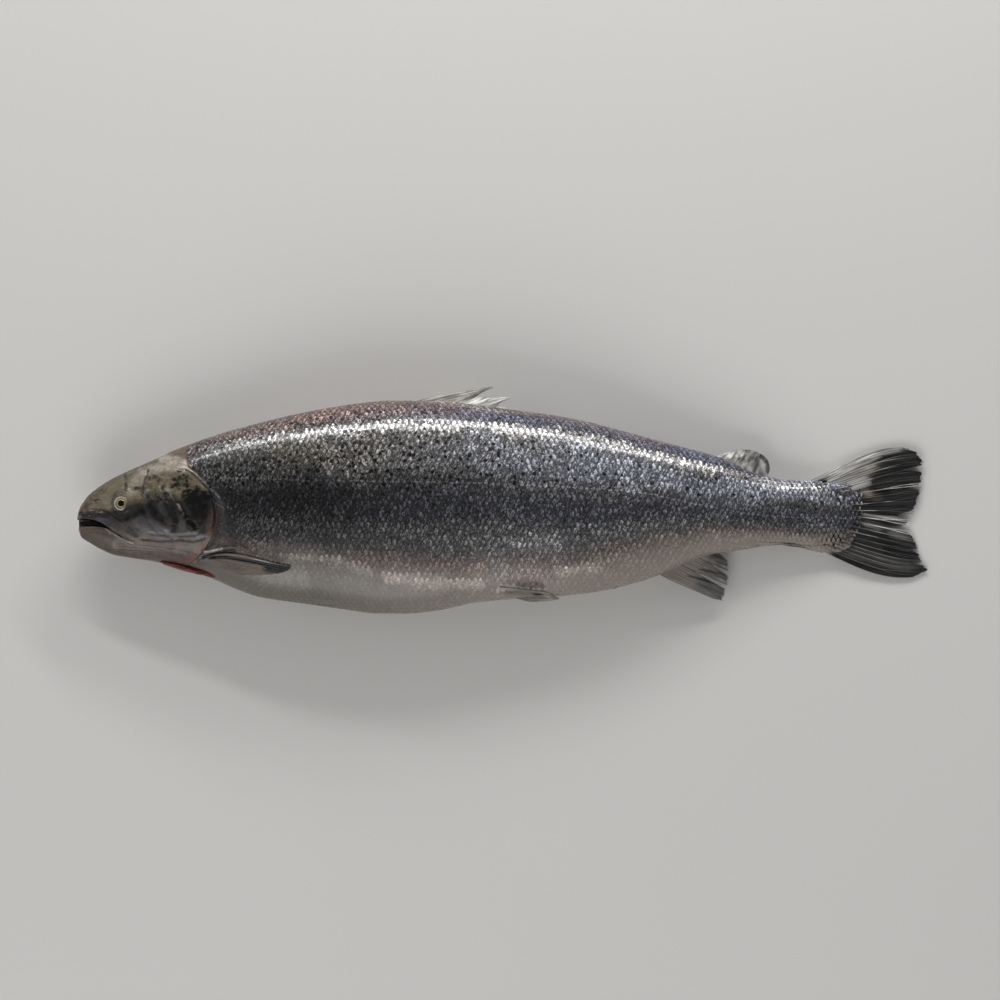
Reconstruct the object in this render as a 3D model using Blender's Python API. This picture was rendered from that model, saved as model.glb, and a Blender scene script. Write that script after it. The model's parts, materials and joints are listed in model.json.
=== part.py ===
"""A whole Atlantic salmon, lying on its right side as on a fishmonger's slab.

The head points to -X, the back to +Y and the left flank up to +Z. The body is one solid: a loft of
oval sections, pressed flat where it rests, with its fins fused to it. The mouth, the eye sockets and
the slit at the throat are cut into it. The eyes and the gill flesh in the slit are pieces of their own.

Run with: blender --background --python part.py
"""

import math

import bmesh
import bpy
import numpy as np

MM = 0.001  # metres in a millimetre: every size below is in millimetres until its mesh is made
WELD = 0.01 * MM  # points closer than this are one point

# ---- Driving dimensions -------------------------------------------------------------------------
# Distances along the fish are measured from the tip of the snout. Heights are measured across it,
# from a line through the cheek, with the back at plus.
LENGTH = 750.0  # snout to the tip of the tail
FLESH_END = 690.0  # where the flesh ends inside the tail fin

BACK_EDGE = [
    (0, -9), (4, -4), (9, 3), (17, 9.7), (30, 18.2), (44, 25), (65, 34.2), (86, 43.9), (107, 51.8),
    (128, 58.8), (160, 67.5), (202, 77.2), (244, 84.2), (275, 87), (319, 86.4), (354, 82.9),
    (381, 79), (412, 75), (444, 69.3), (475, 61.4), (507, 52.6), (539, 44.3), (565, 37), (585, 27.5),
    (608, 20.2), (622, 17.4), (640, 17), (665, 15), (690, 12),
]
BELLY_EDGE = [
    (0, -26), (4, -33), (11, -37.6), (22, -43.9), (33, -48.4), (48, -51), (65, -53.5), (97, -62.3),
    (117, -68.4), (139, -78), (160, -85), (181, -88.4), (202, -91.2), (233, -95.6), (265, -99.6),
    (286, -99.6), (318, -96.5), (349, -90), (402, -85.5), (433, -83.3), (465, -78.9), (486, -73.7),
    (507, -67), (530, -57.4), (553, -48.6), (581, -43.9), (612, -39.5), (623, -38.9), (636, -41.3), (654, -45.6),
    (668, -46.5), (690, -40),
]
THICKNESS = [
    (0, 13), (12, 24), (25, 33), (45, 44), (80, 60), (110, 69), (130, 72), (200, 84), (280, 90),
    (350, 88), (430, 78), (500, 62), (560, 45), (620, 29), (655, 18), (675, 11), (690, 6),
]
SPINE_HEIGHT = [
    (0, 35.5), (45, 35), (80, 34), (110, 33.5), (130, 34), (200, 37), (280, 38.5), (350, 37.5),
    (430, 33.5), (500, 27), (560, 20.3), (620, 13), (655, 8.3), (675, 6), (690, 4.6),
]  # the middle plane above the slab: the limp tail droops down to it

SECTION_FULLNESS = 2.15  # exponent of the oval sections: 2 is an ellipse
BACK_HEAVY = 0.10  # how much thicker a section is towards the back
PRESS_BLEND = 3.0  # over this height the underside turns into the flat it rests on
SNOUT_ROUND = 4.0
TAIL_ROUND = 16.0
FIRST_RING = 0.35
LAST_RING = FLESH_END - 0.2
RING_POINTS = 36
# Spacing of the sections along the fish: from each distance on, sections are this far apart.
SECTION_SPACING = [(0, 1.2), (4, 3.5), (16, 7.0), (79, 4.5), (92, 1.8), (98, 6.5), (124, 12.5),
                   (655, 8.0), (680, 4.5)]

# The gill cover: its rear edge is an arc that bows back from a line across the head.
GILL_LINE = 95.0
GILL_ARC_REACH = 27.7
GILL_ARC_MIDDLE = -14.0
GILL_ARC_HALF = 44.0
GILL_ARC_SOFTNESS = 0.01
GILL_PLATE_HEIGHT = 2.4
GILL_PLATE_FRONT = (52.0, 80.0)
GILL_PLATE_EDGE = (GILL_LINE - 1.0, GILL_LINE + 0.6)
GILL_SLIT_DEPTH = 1.4
GILL_SLIT_FRONT = (GILL_LINE - 0.5, GILL_LINE + 0.8)
GILL_SLIT_REAR = (GILL_LINE + 1.5, GILL_LINE + 9.0)
BOW_FADE_FRONT = (26.0, 90.0)
BOW_FADE_REAR = (98.0, 188.0)

EYE_AT = (39.7, -3.0)
EYE_RADIUS = 8.6
EYE_DEPTH = 6.0  # half of the eyeball's depth
EYE_PROUD = 1.9
ROUND_SEGMENTS = 20
FIT_GAP = 0.35  # between a separate piece and the flesh that holds it

MOUTH_REACH = 60.0  # how far the gap is cut in from each side
MOUTH_WALL = 2.4  # what is left of the flesh between the two cuts, as the tongue and the palate
MOUTH_OUTLINE = [
    (-6, -15.0), (1, -17.8), (6, -16.6), (12, -16.9), (18, -18.4), (23.7, -20.9), (30, -25.6),
    (24.3, -24.4), (20, -23.6), (10.5, -23.2), (4.5, -23.4), (1, -25.6), (-6, -30),
]  # the gap between the jaws, seen from the side
JAW_LINE = [(29, -24.6), (35, -28.6), (43, -33.6), (50, -37.2)]  # the upper jaw's lower edge
JAW_LINE_RADIUS = 0.9

THROAT_SLIT_ENDS = ((75, -54.3), (124, -66.8))
THROAT_SLIT_RADII = (27.0, 3.2, 7.0)  # half its length, breadth and depth
THROAT_SLIT_LIFT = 8.0  # how far the slit lies above the fish's middle plane

# Fins. A fin is a fan of rays from a base line to a ragged free edge. Each list gives points (share
# of the way along the fin, distance along the fish, height across it).
TAIL_BASE = [(0, 634, 13), (0.2, 660, 7), (0.5, 674, -13), (0.8, 660, -33), (1, 634, -37)]
TAIL_EDGE = [
    (0, 727, 46.2), (0.05, 738, 42.5), (0.12, 744, 34), (0.25, 743, 18), (0.38, 741, 4),
    (0.46, 735, -12), (0.5, 731, -20.5), (0.54, 733, -28), (0.64, 739, -40), (0.78, 742, -52),
    (0.9, 745, -58), (0.96, LENGTH, -62), (1, 736, -68),
]
DORSAL_BASE = [(0, 276, 79), (0.5, 332, 77), (1, 377, 72)]
DORSAL_EDGE = [
    (0, 364, 101.3), (0.08, 367, 99.2), (0.3, 356, 94.6), (0.48, 349, 90.2), (0.52, 378, 90.6),
    (0.62, 380.5, 90.0), (0.78, 369.5, 84.4), (0.82, 377, 80.6), (1, 381.5, 77),
]
ADIPOSE_BASE = [(0, 556, 33), (0.5, 582, 22), (1, 604, 14)]
ADIPOSE_EDGE = [
    (0, 564, 39.6), (0.2, 577, 43.3), (0.45, 590, 44.2), (0.65, 600, 41), (0.82, 607, 34.5),
    (0.94, 608.6, 27), (1, 606.5, 20.5),
]
ANAL_BASE = [(0, 502, -60), (0.5, 528, -50), (1, 555, -40)]
ANAL_EDGE = [
    (0, 559, -87.2), (0.07, 567, -88.8), (0.3, 570, -80), (0.36, 572, -77), (0.62, 572.5, -67),
    (0.66, 573, -64.5), (0.9, 572, -54.5), (1, 569, -51),
]
PECTORAL_BASE = [(0, 115, -49.5), (0.5, 117.5, -53.5), (1, 121, -58)]
PECTORAL_EDGE = [
    (0, 188.6, -57.6), (0.12, 188, -59.8), (0.4, 181, -63.4), (0.7, 166, -65.4), (1, 143, -65.5),
]
PELVIC_BASE = [(0, 371, -76), (0.5, 372, -79), (1, 371, -83)]
PELVIC_EDGE = [(0, 412, -80.6), (0.35, 422.8, -86.6), (0.7, 414, -88.6), (1, 398, -89.6)]

TAIL_SPLITS = [(0.17, 0.8), (0.31, 0.86), (0.47, 0.78), (0.53, 0.74), (0.7, 0.88), (0.86, 0.84)]
DORSAL_SPLITS = [(0.18, 0.8)]
ANAL_SPLITS = [(0.36, 0.42), (0.66, 0.55)]  # each split: where along the fin, and how far out it starts
FIN_ROWS = 5
FIN_EDGE_THICKNESS = 1.3
FIN_RAY_RELIEF = 0.35
RAGGED = 1.1  # how uneven the free edge is


# ---- Curves and small maths ---------------------------------------------------------------------
def smooth_curve(points):
    """A function through the points (position, value) that never overshoots between two of them."""
    x = np.array([p[0] for p in points], float)
    y = np.array([p[1] for p in points], float)
    step = np.diff(x)
    slope = np.diff(y) / step
    tangent = np.empty_like(x)
    tangent[0], tangent[-1] = slope[0], slope[-1]
    for i in range(1, len(x) - 1):
        if slope[i - 1] * slope[i] <= 0:
            tangent[i] = 0.0
        else:
            before, after = 2 * step[i] + step[i - 1], step[i] + 2 * step[i - 1]
            tangent[i] = (before + after) / (before / slope[i - 1] + after / slope[i])

    def value(at):
        at = float(np.clip(at, x[0], x[-1]))
        i = int(np.clip(np.searchsorted(x, at) - 1, 0, len(step) - 1))
        u = (at - x[i]) / step[i]
        return float(
            y[i] * (1 + 2 * u) * (1 - u) ** 2
            + tangent[i] * step[i] * u * (1 - u) ** 2
            + y[i + 1] * u * u * (3 - 2 * u)
            - tangent[i + 1] * step[i] * u * u * (1 - u)
        )

    return value


def ease(low, high, at):
    """0 before low, 1 after high, and a smooth rise between."""
    u = min(1.0, max(0.0, (at - low) / (high - low)))
    return u * u * (3 - 2 * u)


def straight_path(points):
    """A function along the points (share, x, y), straight between them, that gives (x, y)."""
    shares = [p[0] for p in points]
    return lambda u: tuple(float(np.interp(u, shares, [p[k] for p in points])) for k in (1, 2))


def smooth_path(points):
    """As straight_path, with smooth curves between the points."""
    curves = [smooth_curve([(p[0], p[k]) for p in points]) for k in (1, 2)]
    return lambda u: tuple(curve(u) for curve in curves)


# ---- The body's form ----------------------------------------------------------------------------
back_edge = smooth_curve(BACK_EDGE)
belly_edge = smooth_curve(BELLY_EDGE)
thickness = smooth_curve(THICKNESS)
spine_height = smooth_curve(SPINE_HEIGHT)


def end_rounding(at):
    """Shrinks the sections to nothing at the snout and at the end of the flesh, as a round does."""
    from_snout = min(1.0, max(0.0, at / SNOUT_ROUND))
    from_tail = min(1.0, max(0.0, (FLESH_END - at) / TAIL_ROUND))
    return math.sqrt(from_snout * (2 - from_snout)) * math.sqrt(from_tail * (2 - from_tail))


def section(at):
    """The oval section at this distance: its middle, its half height and its half thickness."""
    top, bottom = back_edge(at), belly_edge(at)
    rounding = end_rounding(at)
    return (top + bottom) / 2, (top - bottom) / 2 * rounding, thickness(at) / 2 * rounding


def gill_arc(height):
    """How far the gill cover's edge bows back at this height, from 0 to 1."""
    open_arc = 1 - ((height - GILL_ARC_MIDDLE) / GILL_ARC_HALF) ** 2
    return (open_arc + math.sqrt(open_arc * open_arc + GILL_ARC_SOFTNESS)) / 2


def gill_relief(at, height):
    """How far the skin stands out on the gill cover, and in at the slit behind it."""
    plate = ease(*GILL_PLATE_FRONT, at) * (1 - ease(*GILL_PLATE_EDGE, at))
    slit = ease(*GILL_SLIT_FRONT, at) * (1 - ease(*GILL_SLIT_REAR, at))
    return (GILL_PLATE_HEIGHT * plate - GILL_SLIT_DEPTH * slit) * math.sqrt(min(1.0, gill_arc(height)))


def press_on_slab(z):
    """Turns what would lie below the slab into a flat face on it, with a soft bend at its rim."""
    if z >= PRESS_BLEND:
        return z
    if z <= -PRESS_BLEND:
        return 0.0
    return (z + PRESS_BLEND) ** 2 / (4 * PRESS_BLEND)


def skin_point(line, angle):
    """A point of the skin, in millimetres. line is the distance of its ring, and angle goes round
    the ring from the back over the left flank to the belly and on under the fish."""
    power = 2 / SECTION_FULLNESS
    across, up = math.cos(angle), math.sin(angle)
    across = math.copysign(abs(across) ** power, across)
    lift = math.copysign(abs(up) ** power, up)
    middle, half, _ = section(line)
    arc = gill_arc(middle + half * across)
    fade = ease(*BOW_FADE_FRONT, line) * (1 - ease(*BOW_FADE_REAR, line))
    at = line + GILL_ARC_REACH * fade * arc
    middle, half, half_thick = section(at)
    height = middle + half * across
    rise = half_thick * lift * (1 + BACK_HEAVY * across)
    rise += gill_relief(line, height) * lift
    return at, height, press_on_slab(spine_height(at) + rise)


def skin_height(at, height, side=1):
    """The height of the skin above the slab at a place seen from above: side is 1 for the left
    flank, on top, and -1 for the right one, underneath. The gill cover's relief is left out."""
    middle, half, half_thick = section(at)
    across = min(1.0, max(-1.0, (height - middle) / half))
    lift = (1 - abs(across) ** SECTION_FULLNESS) ** (1 / SECTION_FULLNESS)
    return press_on_slab(spine_height(at) + side * half_thick * lift * (1 + BACK_HEAVY * across))


def ring_lines():
    """The distances of the body's rings, closer together where the head needs it."""
    lines, at = [], FIRST_RING
    while at < LAST_RING:
        lines.append(at)
        at += [spacing for start, spacing in SECTION_SPACING if start <= at][-1]
    return lines + [LAST_RING]


# ---- Blender helpers ----------------------------------------------------------------------------
def clear_scene():
    for thing in list(bpy.data.objects):
        bpy.data.objects.remove(thing)


def new_collection(name):
    group = bpy.data.collections.new(name)
    bpy.context.scene.collection.children.link(group)
    return group


def material(name, colour, roughness, metallic=0.0):
    made = bpy.data.materials.new(name)
    made.use_nodes = True
    surface = made.node_tree.nodes["Principled BSDF"]
    surface.inputs["Base Color"].default_value = (*colour, 1.0)
    surface.inputs["Roughness"].default_value = roughness
    surface.inputs["Metallic"].default_value = metallic
    return made


def put_in(thing, group):
    for other in list(thing.users_collection):
        other.objects.unlink(thing)
    group.objects.link(thing)


def mesh_object(name, rows, group):
    """A closed solid from rings of points in millimetres. Each ring holds as many points as the
    next one, and the first and last ring are closed to their middle."""
    work = bmesh.new()
    rings = [[work.verts.new([c * MM for c in point]) for point in row] for row in rows]
    for ring, following in zip(rings, rings[1:]):
        for i, vert in enumerate(ring):
            j = (i + 1) % len(ring)
            work.faces.new((vert, ring[j], following[j], following[i]))
    for ring in (rings[0], rings[-1]):
        pole = work.verts.new(sum((v.co for v in ring), ring[0].co * 0) / len(ring))
        for i, vert in enumerate(ring):
            work.faces.new((vert, pole, ring[(i + 1) % len(ring)]))
    return finish_mesh(name, work, group)


def finish_mesh(name, work, group):
    bmesh.ops.remove_doubles(work, verts=work.verts, dist=WELD)
    bmesh.ops.recalc_face_normals(work, faces=work.faces)
    bmesh.ops.triangulate(work, faces=work.faces)
    mesh = bpy.data.meshes.new(name)
    work.to_mesh(mesh)
    work.free()
    thing = bpy.data.objects.new(name, mesh)
    group.objects.link(thing)
    return thing


def curve_as_mesh(thing, group):
    """The curve object made a mesh, with its caps welded, and the curve removed."""
    bpy.context.view_layer.update()
    evaluated = thing.evaluated_get(bpy.context.evaluated_depsgraph_get())
    mesh = bpy.data.meshes.new_from_object(evaluated)
    made = bpy.data.objects.new(thing.name + "_mesh", mesh)
    made.matrix_world = thing.matrix_world
    group.objects.link(made)
    bpy.data.objects.remove(thing)
    work = bmesh.new()
    work.from_mesh(mesh)
    bmesh.ops.remove_doubles(work, verts=work.verts, dist=WELD)
    bmesh.ops.recalc_face_normals(work, faces=work.faces)
    work.to_mesh(mesh)
    work.free()
    return made


def apply_modifiers(thing):
    bpy.context.view_layer.update()
    evaluated = thing.evaluated_get(bpy.context.evaluated_depsgraph_get())
    mesh = bpy.data.meshes.new_from_object(evaluated)
    thing.modifiers.clear()
    thing.data = mesh


def join_collection(thing, group):
    """One Boolean union of the object with everything in the collection, which is then removed."""
    union = thing.modifiers.new("fuse", "BOOLEAN")
    union.operation = "UNION"
    union.operand_type = "COLLECTION"
    union.collection = group
    apply_modifiers(thing)
    for other in list(group.objects):
        bpy.data.objects.remove(other)


def cut_collection(thing, group):
    for cutter in group.objects:
        cutter.hide_render = True
        cutter.display_type = "WIRE"
    cut = thing.modifiers.new("cut", "BOOLEAN")
    cut.operation = "DIFFERENCE"
    cut.operand_type = "COLLECTION"
    cut.collection = group
    apply_modifiers(thing)


# ---- The pieces ---------------------------------------------------------------------------------
def build_body(group):
    angles = [2 * math.pi * i / RING_POINTS for i in range(RING_POINTS)]
    rows = [[skin_point(line, angle) for angle in angles] for line in ring_lines()]
    return mesh_object("salmon", rows, group)


def ray_shares(rays, splits):
    """The shares along a fin of its rays and of the webs between them, with each split's V."""
    shares = {k / (2 * rays): 1.0 for k in range(2 * rays + 1)}
    narrow = 0.35 / rays
    for at, reach in splits:
        shares = {u: full for u, full in shares.items() if abs(u - at) > 1.2 * narrow}
        shares.update({at - narrow: 1.0, at: reach, at + narrow: 1.0})
    return sorted(shares.items())


def build_fin(name, base, edge, rays, root_thickness, middle_height, group, splits=(), bow=(0, 0),
              late_bow=False, ragged=RAGGED, seed=1):
    """A fan-shaped blade. middle_height gives the height of its middle plane above the slab from
    (share along the fin, share out to its edge, x, y). bow lifts the first and last ray sideways,
    most at a third of their length, or at two thirds for a late bow."""
    uneven = np.random.default_rng(seed)
    rows_top, rows_bottom = [], []
    for column, (u, reach) in enumerate(ray_shares(rays, splits)):
        bx, by = base(u)
        ex, ey = edge(u)
        length = math.hypot(ex - bx, ey - by)
        reach -= ragged * uneven.random() / length
        bow_here = bow[0] * max(0.0, 1 - 3 * u) + bow[1] * max(0.0, 3 * u - 2)
        ray = 1.0 if column % 2 == 0 else -1.0
        top, bottom = [], []
        for row in range(FIN_ROWS + 1):
            v = reach * row / FIN_ROWS
            bend = bow_here * 6.75 * v * (1 - v) * (v if late_bow else 1 - v) / length
            x = bx + (ex - bx) * v - bend * (ey - by)
            y = by + (ey - by) * v + bend * (ex - bx)
            half = (root_thickness + (FIN_EDGE_THICKNESS - root_thickness) * v) / 2
            half += FIN_RAY_RELIEF * ray * math.sin(math.pi * min(1.0, v + 0.25)) / 2
            z = middle_height(u, v, x, y)
            top.append((x, y, z + half))
            bottom.append((x, y, max(0.05, z - half)))
        rows_top.append(top)
        rows_bottom.append(bottom)
    return blade(name, rows_top, rows_bottom, group)


def blade(name, tops, bottoms, group):
    """A thin solid between two like grids of points, both split into triangles alike."""
    work = bmesh.new()
    top, bottom = (
        [[work.verts.new([c * MM for c in point]) for point in row] for row in grid]
        for grid in (tops, bottoms)
    )
    last, end = len(tops) - 1, len(tops[0]) - 1
    for sheet, flip in ((top, False), (bottom, True)):
        for i in range(last):
            for j in range(end):
                a, b, c, d = sheet[i][j], sheet[i + 1][j], sheet[i + 1][j + 1], sheet[i][j + 1]
                for corners in ((a, b, c), (a, c, d)):
                    work.faces.new(corners[::-1] if flip else corners)
    rim = [(i, 0) for i in range(last)] + [(last, j) for j in range(end)]
    rim += [(i, end) for i in range(last, 0, -1)] + [(0, j) for j in range(end, 0, -1)]
    for (i, j), (k, m) in zip(rim, rim[1:] + rim[:1]):
        work.faces.new((top[i][j], bottom[i][j], bottom[k][m], top[k][m]))
    return finish_mesh(name, work, group)


def in_middle_plane(droop):
    """A fin in the fish's middle plane, whose free edge hangs lower by droop."""
    return lambda u, v, x, y: spine_height(x) - droop * v * v


def along_flank(side, proud):
    """A paired fin laid back along the flank: side is 1 on top and -1 underneath."""

    def height(u, v, x, y):
        flank = skin_height(x, max(y, belly_edge(x) + 1.0), side)
        return max(FIN_EDGE_THICKNESS / 2 + 0.1, flank + side * (proud * v - 0.3))

    return height


def tail_height(u, v, x, y):
    """The tail fin lies on the slab in shallow waves."""
    wave = 1.3 * math.sin(5.5 * u + 0.6) + 0.7 * math.sin(17 * u)
    return 4.4 - 1.4 * v + wave * v * v


def build_fins(group):
    build_fin("tail_fin", smooth_path(TAIL_BASE), straight_path(TAIL_EDGE), 16, 5.0, tail_height, group,
              splits=TAIL_SPLITS, bow=(6.0, -7.0), late_bow=True, seed=3)
    build_fin("dorsal_fin", smooth_path(DORSAL_BASE), straight_path(DORSAL_EDGE), 10, 4.0,
              in_middle_plane(5.0), group, splits=DORSAL_SPLITS, bow=(2.5, 0), seed=5)
    build_fin("adipose_fin", smooth_path(ADIPOSE_BASE), smooth_path(ADIPOSE_EDGE), 5, 5.5,
              in_middle_plane(2.0), group, ragged=0.0)
    build_fin("anal_fin", smooth_path(ANAL_BASE), straight_path(ANAL_EDGE), 8, 4.5,
              in_middle_plane(11.0), group, splits=ANAL_SPLITS, bow=(-1.5, 0), seed=7)
    for side, name in ((1, "left"), (-1, "right")):
        build_fin("pectoral_fin_" + name, smooth_path(PECTORAL_BASE), smooth_path(PECTORAL_EDGE), 6, 3.6,
                  along_flank(side, 1.6), group, bow=(5.0, 0), seed=11)
        build_fin("pelvic_fin_" + name, smooth_path(PELVIC_BASE), smooth_path(PELVIC_EDGE), 4, 3.0,
                  along_flank(side, 1.2), group, seed=13)


def ellipsoid(name, centre, radii, turn, group):
    """An ellipsoid of these three radii, turned about the upright axis."""
    bpy.ops.mesh.primitive_uv_sphere_add(segments=ROUND_SEGMENTS, ring_count=ROUND_SEGMENTS // 2,
                                         radius=1.0, location=[c * MM for c in centre],
                                         rotation=(0, 0, turn))
    made = bpy.context.object
    made.name = name
    made.scale = [radius * MM for radius in radii]
    bpy.ops.object.transform_apply(location=True, rotation=True, scale=True)
    put_in(made, group)
    return made


def eyeball(name, side, grow, group):
    """The eyeball on one side, or with grow above 0 the socket that holds it."""
    x, y = EYE_AT
    z = skin_height(x, y, side) + side * (EYE_PROUD - EYE_DEPTH)
    radii = (EYE_RADIUS + grow, EYE_RADIUS + grow, EYE_DEPTH + grow)
    return ellipsoid(name, (x, y, z), radii, 0, group)


def throat_lens(name, grow, group):
    """The lens of red gill flesh at the throat, or with grow above 0 the slit that holds it."""
    (x0, y0), (x1, y1) = THROAT_SLIT_ENDS
    x, y = (x0 + x1) / 2, (y0 + y1) / 2
    radii = [radius + grow for radius in THROAT_SLIT_RADII]
    centre = (x, y, spine_height(x) + THROAT_SLIT_LIFT)
    return ellipsoid(name, centre, radii, math.atan2(y1 - y0, x1 - x0), group)


def mouth_cutter(side, group):
    """The gap between the jaws, cut in from one side as far as the wall in the middle."""
    outline = bpy.data.curves.new("mouth_gap", "CURVE")
    outline.dimensions = "2D"
    outline.fill_mode = "BOTH"
    outline.extrude = MOUTH_REACH / 2 * MM
    spline = outline.splines.new("POLY")
    spline.points.add(len(MOUTH_OUTLINE) - 1)
    for point, (x, y) in zip(spline.points, MOUTH_OUTLINE):
        point.co = (x * MM, y * MM, 0, 1)
    spline.use_cyclic_u = True
    thing = bpy.data.objects.new("mouth_gap", outline)
    thing.location.z = (spine_height(0) + side * (MOUTH_WALL + MOUTH_REACH) / 2) * MM
    group.objects.link(thing)
    return curve_as_mesh(thing, group)


def jaw_groove(side, group):
    """The line where the upper jaw lies over the lower one, cut as a groove in the cheek."""
    path = bpy.data.curves.new("jaw_line", "CURVE")
    path.dimensions = "3D"
    path.bevel_depth = JAW_LINE_RADIUS * MM
    path.bevel_resolution = 2
    path.use_fill_caps = True
    spline = path.splines.new("POLY")
    spline.points.add(len(JAW_LINE) - 1)
    for point, (x, y) in zip(spline.points, JAW_LINE):
        point.co = (x * MM, y * MM, skin_height(x, y, side) * MM, 1)
    thing = bpy.data.objects.new("jaw_line", path)
    group.objects.link(thing)
    return curve_as_mesh(thing, group)


def stand_on_origin(things):
    """Moves every mesh so that the middle of the whole fish's box is at x = y = 0."""
    corners = np.array([v.co for thing in things for v in thing.data.vertices])
    middle = (corners.min(0) + corners.max(0)) / 2
    lowest = corners[:, 2].min()
    for thing in things:
        for vert in thing.data.vertices:
            vert.co.x -= middle[0]
            vert.co.y -= middle[1]
            vert.co.z -= lowest


def shade(thing, surface):
    thing.data.materials.clear()
    thing.data.materials.append(surface)
    thing.data.shade_smooth()
    thing.data.set_sharp_from_angle(angle=math.radians(50))


def main():
    clear_scene()
    fish = new_collection("atlantic_salmon")
    fins = new_collection("fins")
    cutters = new_collection("cutters")

    body = build_body(fish)
    build_fins(fins)
    join_collection(body, fins)

    eyes = []
    for side, name in ((1, "eye_left"), (-1, "eye_right")):
        eyes.append(eyeball(name, side, 0.0, fish))
        eyeball(name + "_socket", side, FIT_GAP, cutters)
        jaw_groove(side, cutters)
        mouth_cutter(side, cutters)
    flesh = throat_lens("gill_flesh", 0.0, fish)
    throat_lens("throat_slit", FIT_GAP, cutters)
    cut_collection(body, cutters)

    for cutter in list(cutters.objects):
        bpy.data.objects.remove(cutter)
    for group in (fins, cutters):
        bpy.data.collections.remove(group)

    stand_on_origin([body, flesh, *eyes])
    shade(body, material("salmon_skin", (0.30, 0.32, 0.34), 0.32, 0.35))
    shade(flesh, material("gill_flesh", (0.42, 0.05, 0.035), 0.35))
    for eye in eyes:
        shade(eye, material("fish_eye", (0.55, 0.49, 0.33), 0.12))


main()
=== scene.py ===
"""Looks of a whole Atlantic salmon lying on its right flank: wet skin, overlapping scales, rayed fins,
eyes, mouth and gill flesh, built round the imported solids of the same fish.

Lengths are in millimetres along the fish (from the tip of the snout) and across it (back at plus),
until in_metres turns them into the frame's own coordinates.
"""

import itertools
import json
import math

import bmesh
import bpy
import numpy as np
from mathutils import Euler, Matrix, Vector
from bpy.props import FloatProperty, FloatVectorProperty, IntProperty, PointerProperty

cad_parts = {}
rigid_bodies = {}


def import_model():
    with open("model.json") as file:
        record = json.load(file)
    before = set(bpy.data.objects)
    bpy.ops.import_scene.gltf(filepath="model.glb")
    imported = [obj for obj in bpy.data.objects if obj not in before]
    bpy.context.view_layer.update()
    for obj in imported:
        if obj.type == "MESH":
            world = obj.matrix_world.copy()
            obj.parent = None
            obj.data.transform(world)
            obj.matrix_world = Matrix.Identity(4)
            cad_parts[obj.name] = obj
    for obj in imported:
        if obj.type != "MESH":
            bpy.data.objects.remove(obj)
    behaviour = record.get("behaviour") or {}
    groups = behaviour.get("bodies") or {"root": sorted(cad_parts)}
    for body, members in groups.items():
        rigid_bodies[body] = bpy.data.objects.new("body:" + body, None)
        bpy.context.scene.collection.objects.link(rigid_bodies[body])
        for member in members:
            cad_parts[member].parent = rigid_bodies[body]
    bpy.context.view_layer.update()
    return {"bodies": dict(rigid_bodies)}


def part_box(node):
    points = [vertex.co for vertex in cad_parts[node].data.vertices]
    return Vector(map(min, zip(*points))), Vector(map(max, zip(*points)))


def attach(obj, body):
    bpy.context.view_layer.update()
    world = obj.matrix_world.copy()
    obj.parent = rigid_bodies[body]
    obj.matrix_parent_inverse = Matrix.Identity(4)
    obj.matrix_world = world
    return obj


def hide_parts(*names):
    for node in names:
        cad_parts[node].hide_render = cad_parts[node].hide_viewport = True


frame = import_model()
SALMON_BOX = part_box("salmon")
BODY = next(iter(frame["bodies"]))

bl_info = {
    "name": "Whole Atlantic Salmon",
    "version": (1, 0, 0),
    "blender": (4, 5, 0),
    "location": "View3D > Sidebar > Salmon",
    "description": "Builds a whole salmon with scales, rayed fins, eyes and gill flesh",
    "category": "Add Mesh",
}

MM = 0.001

# ---- The fish's form, as in its solids -----------------------------------------------------------
FLESH_END = 690.0
BACK_EDGE = [
    (0, -9), (4, -4), (9, 3), (17, 9.7), (30, 18.2), (44, 25), (65, 34.2), (86, 43.9), (107, 51.8),
    (128, 58.8), (160, 67.5), (202, 77.2), (244, 84.2), (275, 87), (319, 86.4), (354, 82.9),
    (381, 79), (412, 75), (444, 69.3), (475, 61.4), (507, 52.6), (539, 44.3), (565, 37), (585, 27.5),
    (608, 20.2), (622, 17.4), (640, 17), (665, 15), (690, 12),
]
BELLY_EDGE = [
    (0, -26), (4, -33), (11, -37.6), (22, -43.9), (33, -48.4), (48, -51), (65, -53.5), (97, -62.3),
    (117, -68.4), (139, -78), (160, -85), (181, -88.4), (202, -91.2), (233, -95.6), (265, -99.6),
    (286, -99.6), (318, -96.5), (349, -90), (402, -85.5), (433, -83.3), (465, -78.9), (486, -73.7),
    (507, -67), (530, -57.4), (553, -48.6), (581, -43.9), (612, -39.5), (623, -38.9), (636, -41.3),
    (654, -45.6), (668, -46.5), (690, -40),
]
THICKNESS = [
    (0, 13), (12, 24), (25, 33), (45, 44), (80, 60), (110, 69), (130, 72), (200, 84), (280, 90),
    (350, 88), (430, 78), (500, 62), (560, 45), (620, 29), (655, 18), (675, 11), (690, 6),
]
SPINE_HEIGHT = [
    (0, 35.5), (45, 35), (80, 34), (110, 33.5), (130, 34), (200, 37), (280, 38.5), (350, 37.5),
    (430, 33.5), (500, 27), (560, 20.3), (620, 13), (655, 8.3), (675, 6), (690, 4.6),
]
SECTION_FULLNESS = 2.15
BACK_HEAVY = 0.10
PRESS_BLEND = 3.0
LEAST_HEIGHT = 0.05
SNOUT_ROUND = 4.0
TAIL_ROUND = 16.0
FIRST_RING = 0.35
LAST_RING = FLESH_END - 0.2

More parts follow.
